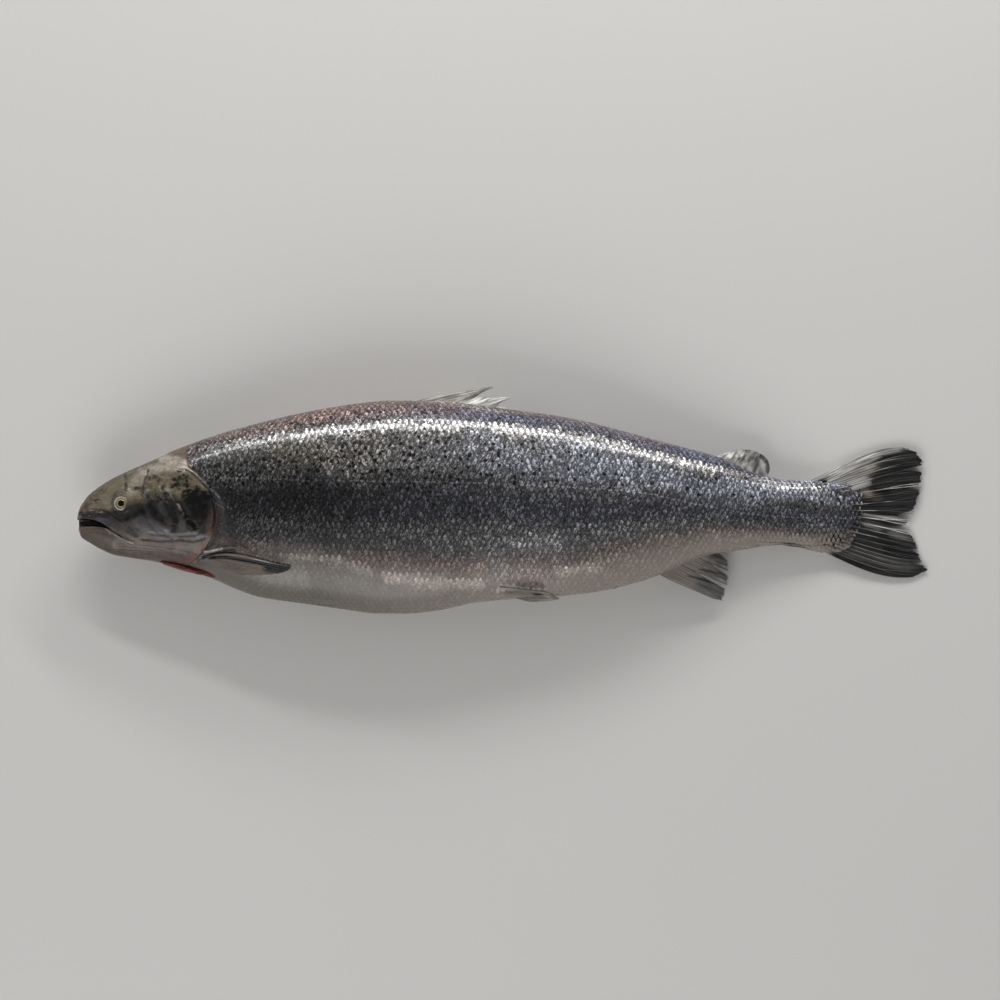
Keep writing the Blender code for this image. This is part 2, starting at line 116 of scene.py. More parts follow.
GILL_LINE = 95.0
GILL_ARC_REACH = 27.7
GILL_ARC_MIDDLE = -14.0
GILL_ARC_HALF = 44.0
GILL_ARC_SOFTNESS = 0.01
GILL_PLATE_HEIGHT = 2.4
GILL_PLATE_FRONT = (52.0, 80.0)
GILL_PLATE_EDGE = (GILL_LINE - 1.0, GILL_LINE + 0.6)
GILL_SLIT_DEPTH = 1.9
GILL_SLIT_FRONT = (GILL_LINE - 0.5, GILL_LINE + 0.8)
GILL_SLIT_REAR = (GILL_LINE + 1.5, GILL_LINE + 9.0)
BOW_FADE_FRONT = (26.0, 90.0)
BOW_FADE_REAR = (98.0, 188.0)

EYE_AT = (39.7, -3.0)
EYE_RADIUS = 8.6
EYE_DEPTH = 6.0
EYE_PROUD = 1.9
FIT_GAP = 0.35
THROAT_SLIT_ENDS = ((75, -54.3), (124, -66.8))
THROAT_SLIT_RADII = (27.0, 3.2, 7.0)
THROAT_SLIT_LIFT = 8.0
MOUTH_OUTLINE = [
    (-6, -15.0), (1, -17.8), (6, -16.6), (12, -16.9), (18, -18.4), (23.7, -20.9), (30, -25.6),
    (24.3, -24.4), (20, -23.6), (10.5, -23.2), (4.5, -23.4), (1, -25.6), (-6, -30),
]
MOUTH_TOP = [(1.5, -16.6), (4, -16.0), (8, -15.4), (14, -16.2), (20, -18.2), (26, -22.2), (31, -26.2)]
MOUTH_BOTTOM = [(1.5, -26.2), (4, -25.4), (8, -24.8), (14, -24.7), (20, -24.9), (26, -26.0), (31, -27.4)]

TAIL_BASE = [(0, 634, 13), (0.2, 660, 7), (0.5, 674, -13), (0.8, 660, -33), (1, 634, -37)]
TAIL_EDGE = [
    (0, 727, 46.2), (0.05, 738, 42.5), (0.12, 744, 34), (0.25, 743, 18), (0.38, 741, 4),
    (0.46, 735, -12), (0.5, 731, -20.5), (0.54, 733, -28), (0.64, 739, -40), (0.78, 742, -52),
    (0.9, 745, -58), (0.96, 749, -62), (1, 736, -68),
]
DORSAL_BASE = [(0, 276, 79), (0.5, 332, 77), (1, 377, 72)]
DORSAL_EDGE = [
    (0, 364, 101.3), (0.08, 367, 99.2), (0.3, 356, 94.6), (0.48, 349, 90.2), (0.52, 378, 90.6),
    (0.62, 380.5, 90.0), (0.78, 369.5, 84.4), (0.82, 377, 80.6), (1, 381.5, 77),
]
ADIPOSE_BASE = [(0, 556, 33), (0.5, 582, 22), (1, 604, 14)]
ADIPOSE_EDGE = [
    (0, 564, 39.6), (0.2, 577, 43.3), (0.45, 590, 44.2), (0.65, 600, 41), (0.82, 607, 34.5),
    (0.94, 608.6, 27), (1, 606.5, 20.5),
]
ANAL_BASE = [(0, 502, -60), (0.5, 528, -50), (1, 555, -40)]
ANAL_EDGE = [
    (0, 559, -87.2), (0.07, 567, -88.8), (0.3, 570, -80), (0.36, 572, -77), (0.62, 572.5, -67),
    (0.66, 573, -64.5), (0.9, 572, -54.5), (1, 569, -51),
]
PECTORAL_BASE = [(0, 115, -49.5), (0.5, 117.5, -53.5), (1, 121, -58)]
PECTORAL_EDGE = [
    (0, 188.6, -57.6), (0.12, 188, -59.8), (0.4, 181, -63.4), (0.7, 166, -65.4), (1, 143, -65.5),
]
PELVIC_BASE = [(0, 371, -76), (0.5, 372, -79), (1, 371, -83)]
PELVIC_EDGE = [(0, 412, -80.6), (0.35, 422.8, -86.6), (0.7, 414, -88.6), (1, 398, -89.6)]
TAIL_SPLITS = [(0.17, 0.8), (0.31, 0.86), (0.47, 0.78), (0.53, 0.74), (0.7, 0.88), (0.86, 0.84)]
DORSAL_SPLITS = [(0.18, 0.8)]
ANAL_SPLITS = [(0.36, 0.42), (0.66, 0.55)]

# ---- Lines of the colouring, from the head to the tail -------------------------------------------
# The sheen along SHEEN_LINE is silver with a painted highlight.
SHEEN_LINE = [(0, 10), (60, 30), (109, 48), (144, 52), (188, 56), (240, 65), (293, 66.7), (346, 66.7),
              (398, 62), (451, 55), (504, 42), (556, 29), (600, 19.3), (635, 10.5), (690, 6)]
# The dark band between BAND_TOP and BAND_BOTTOM holds a painted reflection of the dim room overhead.
BAND_TOP = [(0, 0), (100, 8), (144, 11), (188, 19), (240, 14), (293, 16), (346, 17.5), (398, 12),
            (451, 4), (504, 4), (556, -2), (600, -3), (635, -4.4), (690, -6)]
BAND_BOTTOM = [(0, -10), (100, -14), (144, -16), (188, -17.5), (240, -19), (293, -18), (346, -21),
               (398, -19.3), (451, -24), (504, -17), (556, -18.5), (600, -20), (635, -22), (690, -24)]
BELLY_LINE = [(0, -25), (100, -38), (144, -42), (188, -42), (240, -49), (293, -58), (346, -65),
              (398, -62), (451, -52.6), (504, -36), (556, -27), (600, -27), (635, -30), (690, -31)]
SIDE_LINE = [(0, 24), (100, 22), (160, 18.5), (284, 15.8), (372, 14), (425, 11.4), (495, 6), (547, -4.4),
             (600, -13), (635, -15.5), (690, -15.8)]
SCALES_END = [(-48, 656), (-44, 670), (-37, 679), (-29, 687), (-20, 691.5), (-12, 690.5), (-1, 692),
              (8, 691), (14, 681), (18, 664), (24, 640)]
NARROWEST_ZONE = 0.5
SHOULDER = [(-60, 146), (-46, 142), (-24, 137), (0, 130), (12, 116), (18, 100)]

# Each mark on the head: how far it stands out, how wide it is, and the line it runs along.
HEAD_RELIEF = [
    (0.9, 2.2, [(30, 4.5), (34, 8.2), (40, 9.6), (46, 7.6), (50, 3)]),
    (0.5, 1.6, [(30, -9), (35, -13.5), (42, -14), (48, -10)]),
    (-1.6, 1.3, [(16.2, -0.8), (16.6, -0.7)]),
    (0.7, 1.0, [(17.8, -2), (18.3, 0.6)]),
    (-1.3, 1.0, [(19.6, -0.2), (20, 0)]),
    (-0.8, 1.3, [(7, -14), (8, -13.8)]),
    (-0.8, 1.3, [(12.4, -13.2), (13.2, -13)]),
    (1.4, 4.4, [(10, -12.6), (20, -14.6), (32, -20.5), (44, -29.5), (49, -33)]),
    (-0.6, 1.1, [(14, -8.5), (26, -9.8), (36, -16), (46, -23), (53, -31)]),
    (-1.1, 0.8, [(27, -24.6), (35, -29.2), (43, -33.8), (50, -37)]),
    (0.7, 1.3, [(3, -15.3), (12, -14.9), (18, -16.3), (24, -19.2), (30, -24)]),
    (0.7, 1.5, [(3, -26.2), (12, -25.4), (20, -25.8), (29, -28.4)]),
    (-1.0, 1.1, [(63.4, 25.4), (61.5, 20.5), (59.8, 17), (58.4, 11), (57.9, 7)]),
    (-0.7, 1.2, [(57.9, 7), (59, -6), (63, -18), (72, -28), (84, -33)]),
    (1.1, 3.0, [(62, 6), (64, -6), (69, -17), (78, -25)]),
    (-0.5, 0.9, [(66, 22), (72, 16), (76, 7)]),
    (-0.5, 0.9, [(70, 24), (78, 20), (86, 21)]),
    (0.9, 1.2, [(80.7, 8.8), (84, 4.4), (85.6, 1.4), (88.4, -2.6), (90.6, -6), (92, -11), (95.6, -15.6),
                (98, -20.4), (101.4, -23.6), (104, -27.5)]),
    (0.7, 1.0, [(74, 12), (77, 4), (80, -2)]),
    (-0.6, 1.0, [(89.5, 3.5), (95, -6), (100, -16), (107, -23)]),
    (-0.8, 1.0, [(58, -34), (72, -35.5), (90, -34.5), (104, -35.5), (113, -33)]),
    (-0.5, 0.9, [(64, -29), (78, -31), (92, -31.5), (106, -30)]),
    (0.8, 4.0, [(66, 28), (80, 27), (92, 24)]),
    (1.3, 2.4, [(113, -45), (124, -42.6), (136, -41), (146, -41.6)]),
    (-1.1, 2.0, [(112, -48.5), (124, -46), (138, -45)]),
]
THROAT_RAYS = 5
THROAT_RAY_PITCH = 2.7
THROAT_RAY_CLOSING = 0.12
THROAT_CREASE = (0.4, 0.9)
THROAT_RAY_LINE = [(34, -38.5), (52, -40), (74, -42), (92, -44.5), (106, -48.5)]
WAVE_HEIGHT = 0.45
FACING_STEPS = (1.5, 0.4)
TAIL_THINNING = 0.3

# Each patch of colour: its strength, how wide it is, and the line it runs along.
DARK_PATCHES = [
    (1.0, 3.4, [(3, -12.6), (12, -12.4), (20, -11.4), (28, -12.4)]),
    (0.45, 7.0, [(3, -2), (12, 5), (22, 12)]),
    (0.32, 8.0, [(5, -31), (14, -37), (26, -42)]),
    (0.4, 5.0, [(32, -21), (42, -25), (52, -28)]),
    # Painted shadow of the pectoral fin on the flank above it.
    (0.5, 4.0, [(132, -42), (145, -43), (157, -44)]),
    (0.9, 3.0, [(28, -12), (34, -15.8), (42, -17), (50, -14), (58, -10)]),
    (0.95, 4.4, [(58, -10), (66, -4), (72, 1), (80, 4)]),
    (1.3, 10.0, [(104, 1), (108, -6), (107, -14), (104, -20)]),
    (1.2, 6.0, [(97, 4), (106, 6.5), (114, 3)]),
    (0.9, 6.0, [(94, -12), (100, -20), (110, -26)]),
    (0.9, 4.5, [(86, -10), (88, -18), (86, -26)]),
    (0.8, 4.5, [(62, -6), (70, -12), (78, -18)]),
    (0.75, 5.5, [(64, 2), (72, 4), (84, 0)]),
    (0.6, 9.0, [(82, -8), (92, -16), (98, -22)]),
    (0.35, 8.0, [(60, -18), (72, -20), (84, -22)]),
    (0.95, 2.6, [(84, 12), (92, 14), (98, 13)]),
    (0.9, 1.2, [(63.4, 26), (61, 19), (59, 11), (58.4, 4)]),
    (0.9, 2.0, [(52, 10), (56, 10.5), (59, 9)]),
    (0.8, 1.7, [(42, 24), (43.6, 19)]),
    (0.85, 1.7, [(43.4, 14.5), (44.2, 9)]),
    (0.7, 2.4, [(63, 19), (70, 20), (72.5, 17)]),
    (0.85, 1.9, [(76, 10), (78, 12.5)]),
    (0.9, 2.3, [(84.5, 19), (89, 17), (92, 20)]),
    (0.9, 2.0, [(95, 18), (98, 20.5), (101, 19)]),
    (0.85, 1.5, [(90, 25), (95, 26.5)]),
    (0.85, 1.7, [(87, 12), (91, 10)]),
    (0.8, 1.4, [(103, 23), (105, 20)]),
    (0.9, 1.5, [(8, -14), (9, -14.2)]),
    (0.9, 1.8, [(12.4, -12.6), (14, -13)]),
    # Painted shade in the nostril's pit.
    (0.8, 1.3, [(16.2, -0.8), (17.4, 0)]),
    (0.75, 2.2, [(0.6, -8), (1.4, -13), (5, -16)]),
    (0.7, 0.7, [(24, -23), (31, -26.6), (39, -31.6), (48, -36)]),
    (0.45, 4.0, [(8, -4), (10, -10)]),
    (0.55, 1.4, [(20, 12), (44, 25.4), (64, 34)]),
    (1.0, 1.0, [(96, 27.0), (104.5, 22.0), (110.5, 16.0), (117, 8.6), (120, -1), (122.0, -12), (121.4, -20),
                (119.6, -27)]),
    (0.3, 0.7, [(60, -31.5), (74, -34.5), (90, -34), (106, -33.5)]),
    # Painted shade in the crease at the pectoral fin's base.
    (1.0, 2.6, [(113, -49.8), (119, -50.4), (128, -48.6), (136, -47.2)]),
    # Painted shadow of the pectoral fin on the flank above it.
    (0.55, 4.0, [(136, -45), (150, -46), (164, -48), (178, -52)]),
    # Painted shade under the fold above the pelvic fin.
    (0.6, 2.8, [(384, -74.6), (407, -75.4)]),
    (0.55, 9.0, [(541, 15), (548, 22)]),
    (0.25, 5.0, [(606, -24), (640, -28), (664, -30)]),
    (0.5, 9.0, [(106, 46), (124, 54), (150, 64), (180, 72)]),
    (0.7, 5.5, [(666, 9), (676, 5), (682, -4)]),
    (0.55, 5.0, [(682, -22), (676, -34)]),
]
OLIVE_PATCHES = [
    (0.9, 8.0, [(90, 22), (97, 22), (103, 17)]),
    (0.5, 12.0, [(22, 2), (36, 14)]),
    (0.35, 22.0, [(250, 40), (300, 44), (330, 40)]),
    (0.3, 16.0, [(350, 42), (400, 44), (420, 38)]),
    (0.35, 12.0, [(180, 44), (210, 42)]),
]
WARM_PATCHES = [
    (0.7, 6.0, [(62, 24), (70, 22)]),
    (0.7, 6.0, [(78, 36), (90, 40), (98, 42), (106, 44)]),
    (0.85, 5.0, [(190, 73), (230, 79), (270, 84), (300, 84), (330, 82)]),
    (0.5, 4.0, [(340, 82), (400, 74), (450, 65), (520, 47)]),
    (0.3, 8.0, [(60, -40), (80, -44), (104, -42)]),
    (0.5, 7.0, [(308, -57), (330, -58), (352, -61)]),
    (0.4, 7.0, [(250, -52), (280, -56), (300, -60)]),
    (0.9, 2.0, [(0, -28.5), (6, -28)]),
    (0.35, 8.0, [(8, -32), (22, -39), (44, -44)]),
    # Painted shadow, brown, of the pectoral fin on the flank above it.
    (0.6, 4.0, [(132, -50), (150, -47.5), (170, -50.5)]),
    # Painted shade, brown, under the fold above the pelvic fin.
    (0.9, 3.0, [(376, -71), (392, -71.5), (404, -74)]),
    (0.6, 7.0, [(4, -8), (12, -4), (20, -7)]),
    (0.5, 6.0, [(76, 24), (88, 38), (98, 42)]),
    (0.6, 7.0, [(123, -12), (126, -24), (128, -34), (138, -38), (150, -42)]),
]
RED_PATCHES = [
    (0.6, 1.1, [(121, -24), (118.6, -30), (115, -36), (111, -42), (106, -47)]),
    (0.7, 2.0, [(113, -40), (107, -47), (99, -52)]),
    (0.7, 1.3, [(84, -52.5), (98, -54), (110, -56)]),
    (0.4, 1.2, [(2, -17.6), (12, -17.2), (18, -18.2)]),
]
# Bluish patches are partly bluish-grey skin round the eye, jaw and cheek, and partly painted glints and
# sheen on the shoulder, the flank and the upper peduncle.
BLUE_AND_GLINT_PATCHES = [
    (0.25, 3.0, [(20, -17), (30, -19.5), (42, -24), (52, -30)]),
    (0.25, 3.0, [(74, -4), (78, -12)]),
    (0.75, 2.0, [(79, 11.5), (82, 6.5)]),
    (0.25, 4.0, [(61, 6), (66, 4), (70, -2)]),
    (0.45, 5.0, [(92, -20), (100, -27), (108, -30)]),
    (0.35, 7.0, [(56, -20), (68, -26), (84, -30)]),
    (0.8, 2.6, [(112, 18), (119, 9.5)]),
    (0.3, 2.2, [(120, 8), (123, 3), (130, -5)]),
    (0.1, 5.0, [(124, -8), (130, -20), (130, -32)]),
    (0.5, 8.0, [(540, 4), (580, -1), (600, 2)]),
    (0.3, 10.0, [(384, -37), (420, -39)]),
    (1.0, 6.0, [(604, 14), (630, 11), (664, 9)]),
]
# Pale patches are partly paler skin and partly painted highlights: glints along the gill cover's edges, on
# the head's wrinkles and the shoulder, and painted sheen on the upper peduncle.
PALE_AND_GLINT_PATCHES = [
    (0.6, 5.0, [(58, 25), (74, 28), (88, 30)]),
    (0.75, 5.0, [(76, 36), (88, 34), (96, 30)]),
    (0.35, 6.0, [(50, 8), (56, 18)]),
    (0.4, 5.0, [(52, 16), (56, 22)]),
    (1.0, 0.6, [(80, 8.8), (84, 3.4), (86, 0)]),
    (1.0, 0.8, [(90, -3.6), (93, -9.5), (96, -14), (101, -20), (104, -24)]),
    (0.8, 0.5, [(93, -10), (98, -15.5), (103, -21)]),
    (0.6, 0.6, [(74, 12), (77, 4), (80, -2)]),
    (0.5, 0.8, [(26, -25.4), (38, -33), (50, -38.2)]),
    (0.1, 5.0, [(4, -28), (16, -34), (32, -40)]),
    (1.0, 0.8, [(89, 29), (97, 28), (104.8, 23.6), (111.4, 17.4), (118.4, 10)]),
    (0.6, 1.0, [(116, 13.5), (119.4, 9), (122, 7), (126, 2)]),
    (0.6, 0.5, [(121, -1), (126, -5), (132, -9)]),
    (0.12, 3.5, [(116, -34), (124, -36), (134, -40)]),
    (1.0, 1.2, [(113, -45.6), (120, -44.6), (128, -42.6)]),
    (0.2, 10.0, [(170, -66), (196, -70)]),
    (0.5, 5.5, [(272, -68), (300, -71), (330, -73), (352, -74)]),
    (0.35, 4.0, [(188, -50), (210, -50), (236, -55), (256, -62)]),
    (0.2, 9.0, [(386, -36), (418, -38)]),
    (0.3, 5.0, [(604, 14), (630, 12), (655, 10)]),
    (0.5, 4.5, [(420, -63), (436, -61), (452, -60)]),
    (1.0, 2.4, [(369, -77.6), (383, -78.4)]),
    (0.6, 2.4, [(298, 88), (318, 85.5), (340, 82)]),
    (0.3, 2.0, [(340, 82), (365, 78), (380, 75.5)]),
]

# ---- Small maths ---------------------------------------------------------------------------------
STROKE_CORE, STROKE_EDGE = 0.35, 1.3


def linear(code):
    """An sRGB hex colour as the linear RGB that materials take."""
    channels = (int(code[i : i + 2], 16) / 255 for i in (1, 3, 5))
    return tuple(c / 12.92 if c <= 0.04045 else ((c + 0.055) / 1.055) ** 2.4 for c in channels)


def ease(low, high, at):
    """0 before low, 1 after high, and a smooth rise between."""
    u = np.clip((np.asarray(at, float) - low) / (high - low), 0.0, 1.0)
    return u * u * (3 - 2 * u)


def smooth_curve(points):
    """A function through the points (position, value) that never overshoots between two of them."""
    x, y = np.array(points, float).T
    step = np.diff(x)
    slope = np.diff(y) / step
    tangent = np.empty_like(x)
    tangent[0], tangent[-1] = slope[0], slope[-1]
    for i in range(1, len(x) - 1):
        if slope[i - 1] * slope[i] <= 0:
            tangent[i] = 0.0
        else:
            before, after = 2 * step[i] + step[i - 1], step[i] + 2 * step[i - 1]
            tangent[i] = (before + after) / (before / slope[i - 1] + after / slope[i])

    def value(at):
        at = np.clip(np.asarray(at, float), x[0], x[-1])
        i = np.clip(np.searchsorted(x, at) - 1, 0, len(step) - 1)
        u = (at - x[i]) / step[i]
        return (
            y[i] * (1 + 2 * u) * (1 - u) ** 2
            + tangent[i] * step[i] * u * (1 - u) ** 2
            + y[i + 1] * u * u * (3 - 2 * u)
            - tangent[i + 1] * step[i] * u * u * (1 - u)
        )

    return value


def path_along(points, smooth):
    """A function along the points (share, x, y), straight or smooth between them."""
    shares = [p[0] for p in points]
    if smooth:
        curves = [smooth_curve([(p[0], p[k]) for p in points]) for k in (1, 2)]
        return lambda u: (curves[0](u), curves[1](u))
    return lambda u: tuple(np.interp(u, shares, [p[k] for p in points]) for k in (1, 2))


def stroke(at, height, radius, points):
    """1 on the line through the points, falling softly to 0 a little beyond the radius."""
    distance = np.full(np.shape(at), 1e9)
    for (x0, y0), (x1, y1) in zip(points, points[1:]):
        dx, dy = x1 - x0, y1 - y0
        t = np.clip(((at - x0) * dx + (height - y0) * dy) / (dx * dx + dy * dy), 0, 1)
        distance = np.minimum(distance, np.hypot(at - x0 - t * dx, height - y0 - t * dy))
    return 1 - ease(STROKE_CORE * radius, STROKE_EDGE * radius, distance)


def patches(at, height, marks):
    """The strongest of the marks at each place."""
    most = np.zeros(np.shape(at))
    for strength, radius, points in marks:
        most = np.maximum(most, strength * stroke(at, height, radius, points))
    return most


back_edge = smooth_curve(BACK_EDGE)
belly_edge = smooth_curve(BELLY_EDGE)
thickness = smooth_curve(THICKNESS)
spine_height = smooth_curve(SPINE_HEIGHT)
side_line = smooth_curve(SIDE_LINE)
OFFSET = np.array(
    [
        SALMON_BOX[0].x - FIRST_RING * MM,
        SALMON_BOX[0].y - min(p[1] for p in BELLY_EDGE) * MM,
        0.0,
    ]
)


def in_metres(points):
    """Points of the fish, in millimetres, as places in the frame."""
    return np.asarray(points, float) * MM + OFFSET


def on_fish(places):
    """Places in the frame as points of the fish, in millimetres."""
    return (np.asarray(places, float) - OFFSET) / MM


# ---- The skin's form -----------------------------------------------------------------------------


def section(at):
    """The oval section at this distance: its middle, its half height and its half thickness. The
    flesh thins a little where it runs out between the rays of the tail."""
    top, bottom = back_edge(at), belly_edge(at)
    from_snout = np.clip(at / SNOUT_ROUND, 0.0, 1.0)
    from_tail = np.clip((FLESH_END - at) / TAIL_ROUND, 0.0, 1.0)
    rounding = np.sqrt(from_snout * (2 - from_snout) * from_tail * (2 - from_tail))
    thin = 1 - TAIL_THINNING * ease(640, 684, at)
    return (top + bottom) / 2, (top - bottom) / 2 * rounding, thickness(at) / 2 * rounding * thin


def gill_arc(height):
    """How far the gill cover's edge bows back at this height, from 0 to 1."""
    open_arc = 1 - ((height - GILL_ARC_MIDDLE) / GILL_ARC_HALF) ** 2
    return (open_arc + np.sqrt(open_arc * open_arc + GILL_ARC_SOFTNESS)) / 2


def bow(line):
    """How much of the gill cover's bow reaches this ring line."""
    return GILL_ARC_REACH * ease(*BOW_FADE_FRONT, line) * (1 - ease(*BOW_FADE_REAR, line))


def ring_line(at, height):
    """The ring line through a place: the inverse of the bow that the gill cover gives the rings."""
    line = np.array(at, float)
    arc = gill_arc(height)
    for _ in range(24):
        line = 0.5 * line + 0.5 * (at - bow(line) * arc)
    return line


def skin_relief(line, at, height):
    """How far the skin stands out of the plain oval, in millimetres."""
    plate = ease(*GILL_PLATE_FRONT, line) * (1 - ease(*GILL_PLATE_EDGE, line))
    slit = ease(*GILL_SLIT_FRONT, line) * (1 - ease(*GILL_SLIT_REAR, line))
    arc = np.sqrt(np.clip(gill_arc(height), 0, 1))
    relief = (GILL_PLATE_HEIGHT * plate - GILL_SLIT_DEPTH * slit) * arc
    for amount, radius, points in HEAD_RELIEF:
        relief = relief + amount * stroke(at, height, radius, points)
    for ray in range(THROAT_RAYS):
        crease = [
            (x, y - ray * THROAT_RAY_PITCH * (1 - THROAT_RAY_CLOSING * k))
            for k, (x, y) in enumerate(THROAT_RAY_LINE)]
        depth, width = THROAT_CREASE
        relief = relief - depth * stroke(at, height, width, crease)
    wave = np.sin(at / 19 + 1.3 * np.sin(height / 23)) * np.sin(height / 14 + at / 61)
    return relief + WAVE_HEIGHT * wave * ease(120, 190, at) * (1 - ease(560, 640, at))


def press_on_slab(z):
    """Turns what would lie below the slab into a flat face on it, with a soft bend at its rim."""
    bend = (z + PRESS_BLEND) ** 2 / (4 * PRESS_BLEND)
    return np.where(z >= PRESS_BLEND, z, np.where(z <= -PRESS_BLEND, 0.0, bend))


def skin_points(line, angle):
    """Points of the skin for ring lines and angles: from the back over the left flank to the belly
    and on under the fish."""
    line, angle = np.broadcast_arrays(np.asarray(line, float), angle)
    power = 2 / SECTION_FULLNESS
    across, lift = (np.sign(f) * np.abs(f) ** power for f in (np.cos(angle), np.sin(angle)))
    middle, half, _ = section(line)
    at = line + bow(line) * gill_arc(middle + half * across)
    middle, half, half_thick = section(at)
    height = middle + half * across
    rise = half_thick * lift * (1 + BACK_HEAVY * across) + skin_relief(line, at, height) * lift
    return np.stack([at, height, press_on_slab(spine_height(at) + rise)], -1)


def skin_height(at, height, side=1):
    """The plain skin's height above the slab, on the left flank (side 1) or the right one (-1)."""
    middle, half, half_thick = section(at)
    across = np.clip((height - middle) / np.maximum(half, 1e-6), -1, 1)
    lift = (1 - np.abs(across) ** SECTION_FULLNESS) ** (1 / SECTION_FULLNESS)
    return press_on_slab(spine_height(at) + side * half_thick * lift * (1 + BACK_HEAVY * across))


def skin_facing(at, height, side):
    """The direction that the plain skin faces at these places of one flank."""
    top, bottom = back_edge(at) - 0.8, belly_edge(at) + 0.8
    height = np.clip(height, bottom, top)
    dx, dy = FACING_STEPS
    rise_along = (skin_height(at + dx, height, side) - skin_height(at - dx, height, side)) / (2 * dx)
    rise_across = (skin_height(at, height + dy, side) - skin_height(at, height - dy, side)) / (2 * dy)
    facing = side * np.stack([-rise_along, -rise_across, np.ones_like(at)], -1)
    return facing / np.linalg.norm(facing, axis=-1, keepdims=True)


# ---- The colouring, as attributes that the materials read ----------------------------------------


def colour_zone(at, height):
    """0 at the belly edge, 0.2 at the belly line, 0.4 and 0.6 at the dark band's edges, 0.8 at the
    sheen along the upper flank and 1 at the back edge."""
    edges = [BELLY_LINE, BAND_BOTTOM, BAND_TOP, SHEEN_LINE]
    bounds = [belly_edge(at), *(smooth_curve(edge)(at) for edge in edges), back_edge(at)]
    for k in range(1, len(bounds)):
        bounds[k] = np.maximum(bounds[k], bounds[k - 1] + NARROWEST_ZONE)
    zone = np.zeros(np.shape(at))
    for step, (low, high) in enumerate(zip(bounds, bounds[1:])):
        zone = np.where(height >= low, 0.2 * (step + np.clip((height - low) / (high - low), 0, 1)), zone)
    return zone


def pigment_at(points):
    """The attributes of the colouring at these points of the fish."""
    at, height = points[..., 0], points[..., 1]
    line = ring_line(at, height)
    bare = 1 - ease(96.0, 97.6, line)
    head_share = np.clip((height - belly_edge(at)) / (back_edge(at) - belly_edge(at)), 0, 1)
    shoulder_heights, shoulder_limits = zip(*SHOULDER)
    limit = np.interp(height, shoulder_heights, shoulder_limits, right=0)
    shoulder = (1 - ease(-4, 12, at - limit)) * (1 - bare) * ease(-62, -50, height)
    zone = colour_zone(at, height)
    slate = ease(0.55, 0.63, zone) * (1 - ease(0.73, 0.78, zone)) * (1 - ease(150, 225, at))
    shoulder = np.maximum(shoulder, 0.85 * slate * (1 - bare))
    spotted = ease(0.52, 0.64, zone) * (1 - ease(0.93, 1.0, zone)) * (1 - 0.8 * ease(300, 460, at))
    spotted = np.where(bare > 0.5, stroke(at, height, 8.0, [(88, 22), (97, 20), (104, 15)]), spotted)
    return {
        "zone": np.where(bare > 0.5, head_share, zone),
        "along": at / FLESH_END,
        "bare": bare,
        "shoulder": shoulder,
        "spotted": spotted,
        "dark": patches(at, height, DARK_PATCHES),
        "olive": patches(at, height, OLIVE_PATCHES),
        "warm": patches(at, height, WARM_PATCHES),
        "red": patches(at, height, RED_PATCHES),
        "blue": patches(at, height, BLUE_AND_GLINT_PATCHES),
        "pale": patches(at, height, PALE_AND_GLINT_PATCHES),
    }


def store(mesh, values):
    """Keeps each named array as a number on every point of the mesh."""
    for name, array in values.items():
        kind = "FLOAT_VECTOR" if np.ndim(array) == 2 else "FLOAT"
        layer = mesh.attributes.new(name, kind, "POINT")
        key = "vector" if kind == "FLOAT_VECTOR" else "value"
        layer.data.foreach_set(key, np.ascontiguousarray(array, np.float32).ravel())


def mesh_points(mesh):
    """All points of the mesh, as an array."""
    found = np.empty(len(mesh.vertices) * 3)
    mesh.vertices.foreach_get("co", found)
    return found.reshape(-1, 3)


# ---- Sizes and colours that a user would change --------------------------------------------------


def length_prop(name, text, default):
    """A length, given in millimetres."""
    return FloatProperty(name=name, description=text, default=default * MM, unit="LENGTH", precision=5)


def colour_prop(name, text, code):
    """A colour, given as sRGB hex."""
    return FloatVectorProperty(
        name=name, description=text, default=linear(code), subtype="COLOR", min=0, max=1)


class SalmonSizes(bpy.types.PropertyGroup):
    scale_pitch: length_prop("Scale pitch", "Distance between scales along a row, at the middle", 5.15)
    row_pitch: length_prop("Row pitch", "Distance between rows of scales, at the middle", 4.9)
    scale_length: length_prop("Scale length", "Length of a scale, with what its neighbour covers", 7.3)
    scale_width: length_prop("Scale width", "Width of a scale", 8.2)
    scale_lift: length_prop("Scale lift", "How far a scale's rear edge stands up", 0.34)
    scale_arch: length_prop("Scale arch", "How far a scale's sides fall away", 0.22)
    scale_spread: FloatProperty(
        name="Scale tilt spread", description="Most that a scale leans at random",
        default=math.radians(4.0), subtype="ANGLE")
    ray_radius: length_prop("Ray radius", "Radius of a fin ray where it leaves the flesh", 0.62)
    ray_sides: IntProperty(name="Ray sides", description="Sides of a fin ray's section", default=6, min=4)
    seed: IntProperty(name="Seed", description="Seed of every random draw", default=7, min=0)


